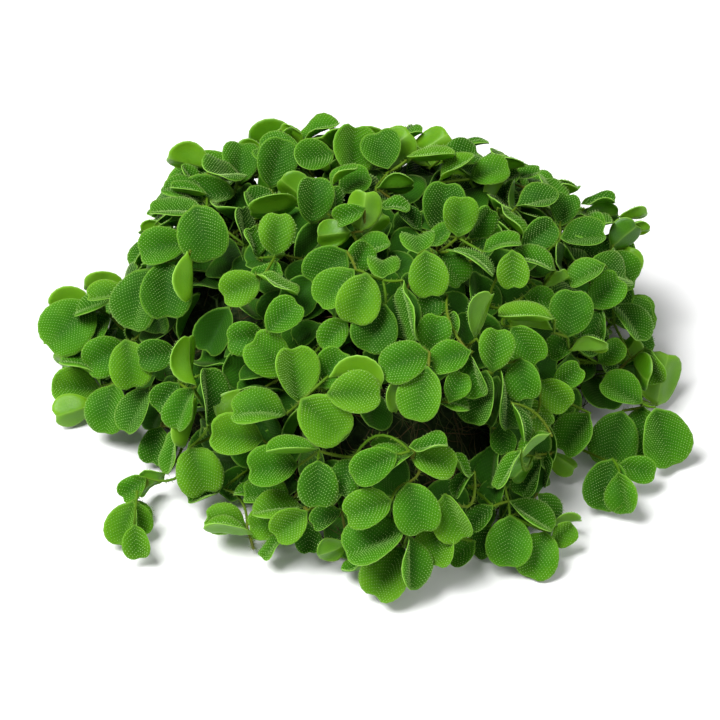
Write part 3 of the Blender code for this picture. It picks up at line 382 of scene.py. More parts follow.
# The mat's body: cuts of its faces, depth and scale of its roughness, scale and share of the
# finer part, and the height up to which it stays flat. Threads seek its surface by halving.
MAT_CUTS = 3
MAT_ROUGHNESS = 0.0014
MAT_GRAIN = 900.0
MAT_FINER = 2.3
MAT_FINER_SHARE = 0.5
MAT_FLAT = 0.0001
MAT_FARTHEST = 0.12
MAT_HALVINGS = 18

# The threads of the mat's flat underside: number, how much thicker and lighter than the
# others, how far out they start, how near the edge they go, how they wander, and how far the
# mat's own face stands above the surface
BOTTOM_THREADS = 900
BOTTOM_THICKER = 1.25
BOTTOM_LIGHTER = 2.2
BOTTOM_REACH = 0.056
BOTTOM_EDGE = 1.0
BOTTOM_WANDER = 0.40
BOTTOM_LIFT = 0.0007

# Looks have a blade's places in millimetres
MILLIMETRES = 1000.0

# Slots of a plant's leaves, of its hairs, and of the mat's threads
TOP, UNDER, RIM, STEM = range(4)
LEAF_HAIR, STEM_HAIR = range(2)
THREAD, BOTTOM_THREAD = range(2)

# Lights, camera and floor
KEY_PLACE = Vector((-0.45, -0.25, 0.95))
KEY_SIZE = 0.55
KEY_POWER = 20.6
FILL_PLACE = Vector((0.70, -0.60, 0.55))
FILL_SIZE = 0.90
FILL_POWER = 4.6
WORLD_STRENGTH = 0.25
FLOOR_SIZE = 6.0
CAMERA_LENS = 125.0

# Palettes: each is the stops of a ramp, with a place from 0 to 1 and a colour. Then single
# colours.
TOP_GREEN = ((0.0, (0.009, 0.056, 0.001)), (0.5, (0.025, 0.134, 0.001)),
             (1.0, (0.068, 0.214, 0.003)))
# Painted light: the upper side's outer part, lighter than its shaded middle.
TOP_LIT_OUTER = ((0.0, (0.021, 0.094, 0.001)), (0.5, (0.063, 0.212, 0.003)),
             (1.0, (0.128, 0.290, 0.009)))
TOP_DOTS = ((0.0, (0.040, 0.145, 0.018)), (0.5, (0.155, 0.335, 0.055)),
            (1.0, (0.330, 0.490, 0.120)))
UNDER_GREEN = ((0.0, (0.020, 0.092, 0.001)), (0.5, (0.066, 0.192, 0.002)),
               (1.0, (0.130, 0.300, 0.006)))
# The blade's thin rim strip, pale as a painted highlight along the leaf's edge.
RIM_HIGHLIGHT = ((0.3, (0.150, 0.350, 0.030)), (0.7, (0.260, 0.480, 0.080)))
STEM_AGES = ((0.25, (0.062, 0.150, 0.003)), (0.65, (0.080, 0.140, 0.005)),
             (0.95, (0.100, 0.105, 0.010)))
THREAD_AGES = ((0.2, (0.030, 0.062, 0.008)), (0.5, (0.040, 0.042, 0.010)),
               (0.8, (0.072, 0.044, 0.014)))
BOTTOM_AGES = [(place, [BOTTOM_LIGHTER * part for part in colour])
               for place, colour in THREAD_AGES]
# The mat's fibres: the roots' own dark colour, darkened further as painted shade of the heap's
# inside.
MAT_FIBRES_AND_SHADE = ((0.40, (0.003, 0.009, 0.001)), (0.58, (0.010, 0.024, 0.003)),
              (0.75, (0.026, 0.042, 0.006)))
LEAF_HAIRS = ((0.35, (0.235, 0.430, 0.090)), (0.65, (0.350, 0.545, 0.170)))
STEM_HAIRS = ((0.35, (0.110, 0.240, 0.022)), (0.65, (0.180, 0.260, 0.040)))
FLOOR_PALE = ((0.0, (0.84, 0.84, 0.84)), (1.0, (0.88, 0.88, 0.88)))
# Painted shade in the midrib groove.
GROOVE_SHADE = (0.012, 0.058, 0.001)
# Painted highlight along the upper side's rim.
TOP_EDGE_HIGHLIGHT = (0.180, 0.380, 0.040)
UNDER_MIDDLE = (0.040, 0.150, 0.002)
UNDER_VEINS = (0.060, 0.200, 0.012)
UNDER_RIB = (0.240, 0.440, 0.050)
# Painted highlight along the under side's rim.
UNDER_EDGE_HIGHLIGHT = (0.280, 0.500, 0.070)
SHEEN_GREEN = (0.75, 1.0, 0.35)

# Plain looks: palette, scale and detail of the noise it runs over, the tone's share in that,
# scale of a fine grain, roughness and specular level
PLAIN_LOOKS = {
    "leaf_rim": (RIM_HIGHLIGHT, 900.0, 3.0, 0.0, 0.0, 0.5, 0.15),
    "stem": (STEM_AGES, 160.0, 3.0, 0.35, 2400.0, 0.6, 0.12),
    "leaf_hair": (LEAF_HAIRS, 140.0, 2.0, 0.0, 0.0, 0.6, 0.15),
    "stem_hair": (STEM_HAIRS, 140.0, 2.0, 0.0, 0.0, 0.6, 0.15),
    "thread": (THREAD_AGES, 220.0, 3.0, 0.30, 3000.0, 0.7, 0.2),
    "under_thread": (BOTTOM_AGES, 220.0, 3.0, 0.30, 3000.0, 0.7, 0.2),
    "floor": (FLOOR_PALE, 6.0, 3.0, 0.0, 0.0, 0.7, 0.5),
}

# Both sides of a leaf: scale and share of the mottle. The upper side: the share at the rim of
# the outer green, which is painted light against the painted shade of the middle, a dot's inner
# and outer edge, the noise range and the strengths of dots from patch to patch, the width of
# the painted shade in the groove, how dark it is from base to tip, and the painted highlight
# along the edge.
LEAF_MOTTLE_SCALE = 330.0
LEAF_MOTTLE = 0.45
TOP_LIT_OUTER_SHARE = 0.75
DOT_EDGES = (0.10, 0.36)
DOT_PATCH_SCALE = 70.0
DOT_PATCHES = (0.35, 0.65, 0.08, 0.40)
GROOVE_SHADE_WIDTH = 1.70
GROOVE_SHADE_FADE = (-5.5, 5.0, 0.82, 0.34)
TOP_EDGE_START = 0.92
TOP_EDGE_SHARE = 0.50

# The under side: share of the darker middle, number, width, share and depth of the veins,
# width and share of the rib, and the painted highlight along the edge
UNDER_MIDDLE_SHARE = 0.40
VEINS_PER_MILLIMETRE = 1.3
VEIN_WIDTH = 0.12
UNDER_VEIN_SHARE = 0.22
UNDER_VEIN_DEPTH = 0.25
RIB_WIDTH = 0.22
UNDER_RIB_SHARE = 0.35
UNDER_EDGE_START = 0.95
UNDER_EDGE_SHARE = 0.4

# The mat's fibres, and the stretch and turn of each of their layers
FIBRE_SCALE = 420.0
FIBRE_DETAIL = 5.0
FIBRE_TWIST = 1.6
FIBRE_WAYS = (((1.0, 0.15, 1.0), 0.4), ((1.0, 0.15, 0.5), 1.5), ((1.0, 0.15, 0.5), 2.6))

# Depth and strength of bumps, roughness as scale, share and least value of a noise, and the
# shader's other values
TOP_BUMP = (0.00012, 0.8)
UNDER_BUMP = (0.00010, 0.7)
PLAIN_BUMP = (0.0001, 0.6)
MAT_BUMP = (0.0008, 0.9)
TOP_ROUGHNESS = (700.0, 0.20, 0.50)
UNDER_ROUGHNESS = (500.0, 0.16, 0.34)
MAT_DULLNESS = 0.8
TOP_SHADER = {
    "Subsurface Weight": 0.10, "Subsurface Scale": 0.0015, "Subsurface Radius": (0.5, 1.0, 0.10),
    "Specular IOR Level": 0.07, "Sheen Weight": 0.12, "Sheen Roughness": 0.45,
    "Sheen Tint": SHEEN_GREEN,
}
UNDER_SHADER = {
    "Subsurface Weight": 0.18, "Subsurface Scale": 0.0018, "Subsurface Radius": (0.6, 1.0, 0.10),
    "Specular IOR Level": 0.25,
}
MAT_SHADER = {"Specular IOR Level": 0.15}

# The step that the heap's slope is taken over, and the seed of the mat's threads
SLOPE_STEP = 0.001
MAT_SEED = 7

# The photograph's camera
VIEW_BACK = Vector((0.0, -math.cos(VIEW_ELEVATION), math.sin(VIEW_ELEVATION)))
VIEW_RIGHT = Vector((1.0, 0.0, 0.0))
VIEW_UP = Vector((0.0, math.sin(VIEW_ELEVATION), math.cos(VIEW_ELEVATION)))
VIEW_EYE = VIEW_AIM + VIEW_BACK * VIEW_DISTANCE
VIEW_FOCAL = VIEW_DISTANCE / PIXEL


def heap_radius(x, y):
    """Radius of the heap's outline in the direction of a point."""
    place = (math.atan2(y, x) % math.tau) / math.tau * len(HEAP_RADII)
    index = int(place) % len(HEAP_RADII)
    blend = place - int(place)
    blend = blend * blend * (3.0 - 2.0 * blend)
    return HEAP_RADII[index] * (1.0 - blend) + HEAP_RADII[(index + 1) % len(HEAP_RADII)] * blend


def heap_level(point, depth=0.0):
    """0 at the heap's middle and 1 on its outer form, or on a form that much smaller."""
    across = math.hypot(point.x, point.y) / (heap_radius(point.x, point.y) - depth)
    up = max(point.z, 0.0) / (HEAP_HEIGHT - depth)
    return (across ** HEAP_SQUARENESS + up ** HEAP_SQUARENESS) ** (1.0 / HEAP_SQUARENESS)


def mat_level(point):
    """1 on the root mat's surface, less inside it and more outside."""
    hollow = math.exp(-((point - HOLLOW_CENTRE).length / HOLLOW_SPREAD) ** 2)
    return heap_level(point, MAT_DEPTH) + HOLLOW_DEPTH * hollow


def outward(point):
    """Unit direction out of the heap at a point."""
    base = heap_level(point)
    slope = Vector([heap_level(point + Vector(axis) * SLOPE_STEP) - base
                    for axis in ((1, 0, 0), (0, 1, 0), (0, 0, 1))])
    return slope.normalized()


def dome_direction(heading, height):
    """Unit direction at a turn about Z and a height from 0 to 1."""
    spread = math.sqrt(1.0 - height * height)
    return Vector((math.cos(heading) * spread, math.sin(heading) * spread, height))


def any_way(axis, chance):
    """Unit direction square to an axis, turned about it by chance."""
    way = axis.orthogonal().normalized()
    way.rotate(Matrix.Rotation(chance.uniform(0.0, math.tau), 3, axis))
    return way


def sight(u, v):
    """Unit direction of the camera's line of sight through a pixel."""
    ray = VIEW_RIGHT * (u - VIEW_MIDDLE) - VIEW_UP * (v - VIEW_MIDDLE) - VIEW_BACK * VIEW_FOCAL
    return ray.normalized()


def pixel(point):
    """The pixel at which the camera sees a point."""
    offset = point - VIEW_EYE
    depth = -offset.dot(VIEW_BACK)
    return (VIEW_MIDDLE + VIEW_FOCAL * offset.dot(VIEW_RIGHT) / depth,
            VIEW_MIDDLE - VIEW_FOCAL * offset.dot(VIEW_UP) / depth)


def inside_outline(point):
    """Whether the camera sees a point inside the clump's outline."""
    u, v = pixel(point)
    inside = False
    for (u0, v0), (u1, v1) in zip(SEEN_OUTLINE, SEEN_OUTLINE[1:] + SEEN_OUTLINE[:1]):
        if (v0 > v) != (v1 > v) and u < u0 + (v - v0) / (v1 - v0) * (u1 - u0):
            inside = not inside
    return inside


def point_on_heap(u, v, inset):
    """First point on a line of sight that is that far inside the heap, or the nearest to it."""
    ray = sight(u, v)
    best, best_level = None, math.inf
    for step in range(int((SIGHT_END - SIGHT_START) / SIGHT_STEP)):
        point = VIEW_EYE + ray * (SIGHT_START + step * SIGHT_STEP)
        level = heap_level(point)
        if level < best_level:
            best, best_level = point, level
        if level <= 1.0 - inset or point.z < FLOOR_CENTRE_HEIGHT:
            break
    return best


def point_on_floor(u, v):
    """Where a line of sight passes the height at which a leaf on the surface has its middle."""
    ray = sight(u, v)
    return VIEW_EYE + ray * ((FLOOR_CENTRE_HEIGHT - VIEW_EYE.z) / ray.z)


class Leaf:
    """One leaf blade, folded along its midrib, from its base to the notch at its tip."""

    def __init__(self, middle, along, facing, length, traits):
        self.along = along.normalized()
        self.right = self.along.cross(facing).normalized()
        self.facing = self.right.cross(self.along)
        self.middle = middle
        self.length = length
        self.width = length * traits.uniform(*LEAF_WIDTHS) * LEAF_WIDTH_SHARE
        self.fold = math.radians(traits.uniform(*LEAF_FOLDS))
        self.curl = math.radians(traits.uniform(*LEAF_CURLS))
        self.notch = traits.uniform(*LEAF_NOTCHES)
        self.bow = length / math.copysign(max(abs(self.curl), LEAF_LEAST_CURL), self.curl)

    def point(self, across, along, lift=0.0):
        """A point of the blade: metres to the right of the midrib, past the middle, and up."""
        angle = along / self.bow
        raised = math.sqrt(across * across + FOLD_SOFTNESS ** 2) - FOLD_SOFTNESS
        fold = self.fold * (1.0 - FOLD_FADE * (along / self.length + 0.5))
        lift = lift + raised * math.sin(fold)
        forward = (self.bow + lift) * math.sin(angle)
        up = self.bow * (math.cos(angle) - 1.0) + lift * math.cos(angle)
        return (self.middle + self.right * (across * math.cos(fold)) + self.along * forward
                + self.facing * up)

    def rim(self, angle, grow=0.0):
        """Across and along of the rim at an angle that runs from the base, 0, round the tip."""
        from_base = min(angle, math.tau - angle)
        dent = 1.0 - self.notch * math.exp(-((angle - math.pi) / NOTCH_SPREAD) ** 2)
        dent -= BASE_DENT * math.exp(-(from_base / BASE_DENT_SPREAD) ** 2)
        across = (0.5 * self.width + grow) * math.sin(angle)
        along = -(0.5 * self.length * dent + grow) * math.cos(angle)
        petiole = PETIOLE * math.exp(-(from_base / PETIOLE_SPREAD) ** 2)
        return across * (1.0 - RIM_NARROWER_AT_BASE * math.cos(angle)), along - petiole

    def node(self):
        """The end of the leaf's short stalk, which its rhizome holds."""
        return self.point(*self.rim(0.0))

    def lens(self, grow=0.0):
        """The blade's solid as points: its rim, then the crown above and the keel below."""
        points = [self.point(*self.rim(angle, grow)) for angle in rim_angles(RIM_POINTS)]
        lift = 0.5 * LEAF_THICKNESS + grow
        points.append(self.point(0.0, 0.0, lift))
        points.append(self.point(0.0, 0.0, -lift))
        return points


def all_round(side):
    """Angles all round a rim, from those on one side between its base and its notch."""
    return [0.0] + side + [math.pi] + [math.tau - angle for angle in reversed(side)]


def rim_angles(count):
    """Angles of the rim's points: one at the base, one in the notch, and each side's."""
    half = count // 2
    return all_round([math.pi * (step / half) ** RIM_CROWDING for step in range(1, half)])


def lens_faces(count):
    """Faces of the lens that Leaf.lens gives the points of."""
    faces = []
    for step in range(count):
        after = (step + 1) % count
        faces.append((after, step, count))
        faces.append((step, after, count + 1))
    return faces


def search_tree(leaf, grow=0.0):
    """Search tree of a leaf's solid."""
    return BVHTree.FromPolygons(leaf.lens(grow), lens_faces(RIM_POINTS))


class Tangle:
    """The leaves and rhizomes placed so far, and whether a new one meets them."""

    def __init__(self):
        self.leaves = []
        self.trees = []
        self.links = []

    def add(self, leaf):
        self.leaves.append(leaf)
        self.trees.append(search_tree(leaf))

    def link(self, route, ends, radius=STEM_ROOM, reach=STEM_RADIUS):
        """Keep a rhizome's route and the leaves that it ends at."""
        self.links.append((route, ends, route_tree(route, radius, reach)))

    def leaf_is_free(self, leaf, gap=GAP, mat_gap=MAT_CLEARANCE):
        """A leaf is free above the surface, outside the mat and clear of every other."""
        points = leaf.lens(gap)
        if min(point.z for point in points) < GAP:
            return False
        if min(mat_level(point - outward(point) * mat_gap) for point in points) < 1.0:
            return False
        tree = search_tree(leaf, gap)
        for other, other_tree in zip(self.leaves, self.trees):
            apart = (other.middle - leaf.middle).length
            if apart < NEIGHBOUR_SHARE * (other.length + leaf.length) and tree.overlap(other_tree):
                return False
        return True

    def link_is_free(self, route, ends):
        """A rhizome's route is free if only the leaves at its ends touch it, at their bases."""
        tree = route_tree(route, STEM_ROOM + GAP, STEM_RADIUS)
        for index, other in enumerate(self.leaves):
            if index in ends or (other.middle - route[0]).length > LINK_REACH + other.length:
                continue
            if tree.overlap(self.trees[index]):
                return False
        for _, link_ends, link_tree in self.links:
            if not set(ends) & set(link_ends) and tree.overlap(link_tree):
                return False
        inner = shortened(route)
        if inner is not None:
            inner_tree = route_tree(inner, STEM_RADIUS)
            if any(inner_tree.overlap(self.trees[index]) for index in ends):
                return False
        return all(mat_level(point) > 1.0 and point.z > STEM_RADIUS + GAP for point in route[1:-1])


def route_tree(route, radius, reach=0.0):
    """Search tree of a square tube along a route, whose ends reach that much further."""
    points, faces = [], []
    for start, end in zip(route, route[1:]):
        turn = (end - start).to_track_quat("Z", "Y").to_matrix()
        further = (end - start).normalized() * reach
        first = len(points)
        for place in (start - further, end + further):
            for x, y in ((1, 0), (0, 1), (-1, 0), (0, -1)):
                points.append(place + turn @ Vector((x * radius, y * radius, 0.0)))
        for side in range(4):
            after = (side + 1) % 4
            faces.append((first + side, first + after, first + 4 + after, first + 4 + side))
        faces.append((first + 3, first + 2, first + 1, first))
        faces.append((first + 4, first + 5, first + 6, first + 7))
    return BVHTree.FromPolygons(points, faces)


def shortened(route):
    """The route without the stretches next to the leaves at its ends."""
    first, last = route[1] - route[0], route[-2] - route[-1]
    if min(first.length, last.length) < STRETCH_LEAST:
        return None
    first, last = first.normalized() * NODE_CLEARANCE, last.normalized() * NODE_CLEARANCE
    return [route[0] + first] + route[1:-1] + [route[-1] + last]


def seen_leaf(row, push, turn_change, nod_change, shrink, seed):
    """A leaf that looks, from the camera, like a row of the table."""
    base_u, base_v, tip_u, tip_v, turn, nod, layer = row
    middle_u, middle_v = 0.5 * (base_u + tip_u), 0.5 * (base_v + tip_v)
    if layer == ON_FLOOR:
        middle = point_on_floor(middle_u, middle_v)
    else:
        middle = point_on_heap(middle_u, middle_v, LAYER_INSETS[layer])
    ray = sight(middle_u, middle_v)
    middle = middle + ray * push
    scale = (middle - VIEW_EYE).dot(-VIEW_BACK) / VIEW_FOCAL
    shown = math.hypot(tip_u - base_u, tip_v - base_v) * scale
    nod = math.radians(nod + nod_change)
    turn = math.radians(turn + turn_change)
    flat = (VIEW_RIGHT * (tip_u - base_u) - VIEW_UP * (tip_v - base_v)).normalized()
    flat = (flat - ray * flat.dot(ray)).normalized()
    along = flat * math.cos(nod) - ray * math.sin(nod)
    facing = -ray * math.cos(nod) - flat * math.sin(nod)
    facing = facing * math.cos(turn) + along.cross(facing) * math.sin(turn)
    length = min(max(shown / math.cos(nod), LEAF_SHORTEST), LEAF_LONGEST) * shrink
    return Leaf(middle, along, facing, length, random.Random(seed))


def place_seen_leaves(tangle, rows):
    """Place leaves of the table, outermost first, each at the first free try."""
    order = sorted(range(len(rows)), key=lambda index: (rows[index][-1] % ON_FLOOR, index))
    for index in order:
        tries = ((shrink, tilt, push) for shrink in SHRINKS for tilt in TILTS for push in PUSHES)
        for shrink, (turn_change, nod_change), push in tries:
            leaf = seen_leaf(rows[index], push, turn_change, nod_change, shrink, index)
            if tangle.leaf_is_free(leaf):
                tangle.add(leaf)
                break


def spiral_leaf(place, places, inset, attempt):
    """A leaf at one place of a spiral over the heap, facing out and up by chance."""
    chance = random.Random(SPIRAL_SEEDS * attempt + place)
    direction = dome_direction(place * SPIRAL_TURN, 1.0 - (place + 0.5) / places)
    middle = direction * ((1.0 - inset) / heap_level(direction))
    out = outward(middle)
    facing = (out + Vector((0.0, 0.0, SPIRAL_LIFT))).normalized()
    lean = Vector([chance.uniform(-SPIRAL_LEAN, SPIRAL_LEAN) for _ in range(3)])
    facing = (facing + lean).normalized()
    along = any_way(facing, chance)
    if along.dot(out) < 0.0:
        along = -along
    return Leaf(middle, along, facing, chance.uniform(*SPIRAL_LENGTHS), chance)


def place_spiral_leaves(tangle, places, inset, faces_camera_most, filler=0):
    """Place leaves by rule where the table has none. Fillers may touch each other."""
    gaps = (FILL_GAP, 0.0) if filler else ()
    for place in range(places):
        for attempt in range(SPIRAL_TRIES):
            leaf = spiral_leaf(place, places, inset, attempt + FILL_SEEDS * filler)
            if outward(leaf.middle).dot(VIEW_BACK) > faces_camera_most:
                break
            if filler and math.dist(pixel(leaf.middle), HOLLOW_PIXEL) < HOLLOW_REACH:
                break
            if all(map(inside_outline, leaf.lens())) and tangle.leaf_is_free(leaf, *gaps):
                tangle.add(leaf)
                break


def routes(start, end):
    """Routes between two nodes: a long one bowed inward, straight, then bowed other ways."""
    middle = (start + end) * 0.5
    out = outward(middle)
    side = out.cross(end - start).normalized()
    if (end - start).length > LONG_LINK:
        yield [start, middle - out * FIRST_BOW, end]
    yield [start, end]
    for bow in BOWS:
        for inward, sideways in BOW_WAYS:
            yield [start, middle + (side * sideways - out * inward) * bow, end]


def link_cost(first, second):
    """Length of a rhizome between two leaves, more where it would run under a blade."""
    span = second.node() - first.node()
    way = span.normalized()
    under = max(way.dot(first.along), 0.0) + max(-way.dot(second.along), 0.0)
    return span.length * (1.0 + LINK_UNDER_BLADE_COST * under)


def join_plants(tangle):
    """Link leaves by rhizomes, shortest first, into plants. Returns each leaf's plant."""
    leaves = tangle.leaves
    plant_of = list(range(len(leaves)))
    pairs = []
    for first in range(len(leaves)):
        for second in range(first + 1, len(leaves)):
            span = (leaves[first].node() - leaves[second].node()).length
            if LINK_LEAST < span < LINK_REACH:
                pairs.append((link_cost(leaves[first], leaves[second]), first, second))
    pairs.sort()
    for most in (PLANT_LEAVES, PLANT_LEAVES_MOST, 2 * PLANT_LEAVES_MOST):
        for _, first, second in pairs:
            if most > PLANT_LEAVES and len(set(plant_of)) <= PLANTS_MOST:
                return plant_of
            size = plant_of.count(plant_of[first]) + plant_of.count(plant_of[second])
            if plant_of[first] == plant_of[second] or size > most:
                continue
            for route in routes(leaves[first].node(), leaves[second].node()):
                if tangle.link_is_free(route, (first, second)):
                    tangle.link(route, (first, second))
                    old, new = plant_of[second], plant_of[first]
                    plant_of = [new if plant == old else plant for plant in plant_of]
                    break
    return plant_of


def add_roots(tangle, plant_of, mat_tree):
    """Run one root of each plant down to just short of the mat, where a way is free."""
    rooted = set()
    levels = [mat_level(leaf.node()) for leaf in tangle.leaves]
    order = sorted(range(len(levels)), key=levels.__getitem__)
    for index in order:
        if plant_of[index] in rooted:
            continue
        start = tangle.leaves[index].node()
        for lean in ROOT_LEANS:
            inward = -outward(start)
            side = inward.orthogonal().normalized()
            inward = (inward + side * lean[0] + inward.cross(side) * lean[1]).normalized()
            hit = mat_tree.ray_cast(start, inward)[0]
            if hit is None or (hit - start).length < ROOT_LEAST:
                continue
            route = [start, hit - inward * (GAP + ROOT_END_GAP)]
            if tangle.link_is_free(route, (index,)):
                tangle.link(route, (index,))
                rooted.add(plant_of[index])
                break


def show(name, data):
    """A new object of the data in the scene."""
    thing = bpy.data.objects.new(name, data)
    bpy.context.scene.collection.objects.link(thing)
    return thing


class Mesh:
    """Gathers points and faces, and makes one object of them."""

    def __init__(self):
        self.points, self.faces, self.slots, self.spots, self.tones = [], [], [], [], []
        self.count = 0

    def add(self, points, faces, slots, tone=0.0, spots=None):
        """Add points with faces of their numbers, one slot or a list of slots, and a tone."""
        self.points.append(np.asarray(points, dtype=np.float64))
        self.faces.append(np.asarray(faces) + self.count)
        self.slots.append(np.full(len(faces), slots) if isinstance(slots, int) else slots)
        self.spots.append(np.zeros((len(points), 3)) if spots is None else spots)
        self.tones.append(np.full(len(points), tone))
        self.count += len(points)

    def make(self, name, looks, *nodes):
        """One object of triangles that rides on the clump's body and replaces the nodes."""
        mesh = bpy.data.meshes.new(name)
        points, faces = np.concatenate(self.points), np.concatenate(self.faces)
        points[:, 2] = np.maximum(points[:, 2], 0.0)
        mesh.from_pydata(points.tolist(), [], faces.tolist())
        mesh.polygons.foreach_set("material_index", np.concatenate(self.slots).astype(np.int32))
        mesh.polygons.foreach_set("use_smooth", np.ones(len(faces), dtype=bool))
        spot = mesh.attributes.new("spot", "FLOAT_VECTOR", "POINT")
        spot.data.foreach_set("vector", np.concatenate(self.spots).ravel())
        tone = mesh.attributes.new("tone", "FLOAT", "POINT")
        tone.data.foreach_set("value", np.concatenate(self.tones))
        for look in looks:
            mesh.materials.append(look)
        thing = show(name, mesh)
        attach(thing, "root")
        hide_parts(*nodes)
        return thing


def fill_gaps(tangle):
    """Add the leaves that fill the gaps between the frame's leaves."""
    for index, row in enumerate(DEEP_LEAVES):
        for push in PUSHES:
            leaf = seen_leaf((*row, INNER), push + DEEP_PUSH, 0, 0, 1.0, DEEP_SEED + index)
            if tangle.leaf_is_free(leaf, FILL_GAP, 0.0):
                tangle.add(leaf)
                break
    for filler, (inset, places, faces_camera_most) in enumerate(FILL_PASSES, start=1):
        place_spiral_leaves(tangle, places, inset, faces_camera_most, filler)


def join_fillers(tangle, plant_of):
    """Link each filling leaf to the nearest leaf of a plant of the frame."""
    nodes = [leaf.node() for leaf in tangle.leaves]
    for index in range(len(plant_of), len(nodes)):
        spans = [(nodes[other] - nodes[index]).length for other in range(index)]
        order = sorted(range(index), key=spans.__getitem__)
        best = order[0]
        for other in order[:FILL_NEIGHBOURS]:
            if LINK_LEAST < spans[other] < FILL_REACH:
                if tangle.link_is_free([nodes[index], nodes[other]], (index, other)):
                    best = other
                    break
        plant_of.append(plant_of[best])
        tangle.link([nodes[index], nodes[best]], (index, best), STEM_RADIUS, 0.0)


def near_one(place, places):
    """Whether a place in the photograph is near one of several."""
    return any(math.dist(place, other) < TONE_REACH for other in places)


def leaf_tone_and_shade(leaf, seen, chance):
    """How light a leaf is, -1 darkest, 1 lightest: chance, painted light and shade, deep shade."""
    tone = chance.uniform(-TONE_SPREAD, TONE_SPREAD)
    if not seen:
        # Painted shade: leaves deep in the heap are darker.
        deep = min(max((1.0 - heap_level(leaf.middle)) / SHADE_DEPTH, 0.0), 1.0)
        return tone + DEEP_SHADE_TONE * deep
    # Painted light and shade with the leaves' own tone: lighter where lit, darker where shaded.
    place = pixel(leaf.middle)
    for places, base in ((PALE_AND_LIT_PLACES, PALE_AND_LIT_TONE), (DARK_AND_SHADED_PLACES, DARK_AND_SHADED_TONE)):
        if near_one(place, places):
            return base + TONE_KEPT * tone
    return tone


def blade_angles():
    """Angles round a fine blade's rim, closer together at the base and at the notch."""
    half = BLADE_SIDES // 2
    evens = [math.pi * step / half for step in range(1, half)]
    return all_round([0.5 * even + 0.25 * math.pi * (1.0 - math.cos(even)) for even in evens])


def blade_grid():
    """Ring share and angle of each point of one side of a blade, from its middle out."""
    grid = [(0.0, 0.0)]
    for ring in BLADE_RINGS:
        grid += [(ring, angle) for angle in blade_angles()]
    return np.array(grid)


def blade_faces():
    """Triangles of a blade's upper side, under side and rim, and their slots."""
    under = 1 + BLADE_SIDES * len(BLADE_RINGS)
    faces, slots = [], []
    for side in range(BLADE_SIDES):
        after = (side + 1) % BLADE_SIDES
        tops = [(0, 1 + side, 1 + after)]
        for ring in range(len(BLADE_RINGS) - 1):
            inner, outer = 1 + ring * BLADE_SIDES, 1 + (ring + 1) * BLADE_SIDES
            tops.append((inner + side, outer + side, outer + after))
            tops.append((inner + side, outer + after, inner + after))
        faces += tops + [(under + a, under + c, under + b) for a, b, c in tops]
        slots += [TOP] * len(tops) + [UNDER] * len(tops)
        last = 1 + (len(BLADE_RINGS) - 1) * BLADE_SIDES
        high, high_after = last + side, last + after
        faces += [(high, under + high, under + high_after), (high, under + high_after, high_after)]
        slots += [RIM, RIM]
    return np.array(faces), np.array(slots)


BLADE_GRID = blade_grid()
BLADE_FACES, BLADE_SLOTS = blade_faces()


def dents(leaf, angle):
    """How far the notches at a leaf's tip and base leave its rim out, at angles from its base."""
    from_base = np.minimum(angle, math.tau - angle)
    notch = leaf.notch * np.exp(-((angle - math.pi) / NOTCH_SPREAD) ** 2)
    return 1.0 - notch - BASE_DENT * np.exp(-(from_base / BASE_DENT_SPREAD) ** 2)


class Form:
    """The fine form of a leaf: its swelling halves and its waving rim."""

    def __init__(self, leaf, chance):
        self.leaf = leaf
        self.swell = chance.uniform(*BLADE_SWELL)
        self.lip = chance.uniform(*BLADE_LIP)
        self.wave = chance.uniform(*BLADE_WAVE)
        self.waves = chance.choice(BLADE_WAVES)
        self.phase = chance.uniform(0.0, math.tau)

    def polar(self, across, along):
        """Share of the way to the rim, and angle from the base, of points of the blade."""
        x, y = across / (0.5 * self.leaf.width), along / (0.5 * self.leaf.length)
        angle = np.arctan2(x, -y) % math.tau
        narrow = 1.0 - RIM_NARROWER_AT_BASE * np.cos(angle)
        return np.hypot(x / narrow, y / dents(self.leaf, angle)), angle

    def surface(self, across, along, thick):
        """Points of the blade, raised by a share of its half thickness."""
        leaf = self.leaf
        share, angle = self.polar(across, along)
        share = np.minimum(share, 1.0)
        raised = np.sqrt(across ** 2 + FOLD_SOFTNESS ** 2) - FOLD_SOFTNESS
        side = raised / (0.5 * leaf.width)
        fold = leaf.fold * (1.0 - FOLD_FADE * (along / leaf.length + 0.5))
        lift = self.swell * SWELL_GAIN * side * (1.0 - share ** 2)
        lift = lift + self.lip * share ** LIP_POWER
        lift = lift + self.wave * share ** WAVE_POWER * np.sin(self.waves * angle + self.phase)
        lift = lift + 0.5 * thick * (BLADE_THIN + (BLADE_THICK - BLADE_THIN) * (1.0 - share ** 2))
        lift = lift + raised * np.sin(fold)
        turn = along / leaf.bow
        forward = (leaf.bow + lift) * np.sin(turn)
        up = leaf.bow * (np.cos(turn) - 1.0) + lift * np.cos(turn)
        return (np.array(leaf.middle) + np.outer(across * np.cos(fold), leaf.right)
                + np.outer(forward, leaf.along) + np.outer(up, leaf.facing))


def add_blade(mesh, form, tone):
    """Add a fine blade: upper side, under side and rim."""
    leaf = form.leaf
    share, angle = BLADE_GRID[:, 0], BLADE_GRID[:, 1]
    narrow = 1.0 - RIM_NARROWER_AT_BASE * np.cos(angle)
    across = share * 0.5 * leaf.width * np.sin(angle) * narrow
    stalk = PETIOLE * np.exp(-(np.minimum(angle, math.tau - angle) / PETIOLE_SPREAD) ** 2)
    along = share * (-0.5 * leaf.length * dents(leaf, angle) * np.cos(angle))
    along = along - share ** STALK_POWER * stalk
    spots = np.stack((across * MILLIMETRES, along * MILLIMETRES, share), axis=1)
    points = np.concatenate((form.surface(across, along, 1.0), form.surface(across, along, -1.0)))
    mesh.add(points, BLADE_FACES, BLADE_SLOTS, tone, np.concatenate((spots, spots)))


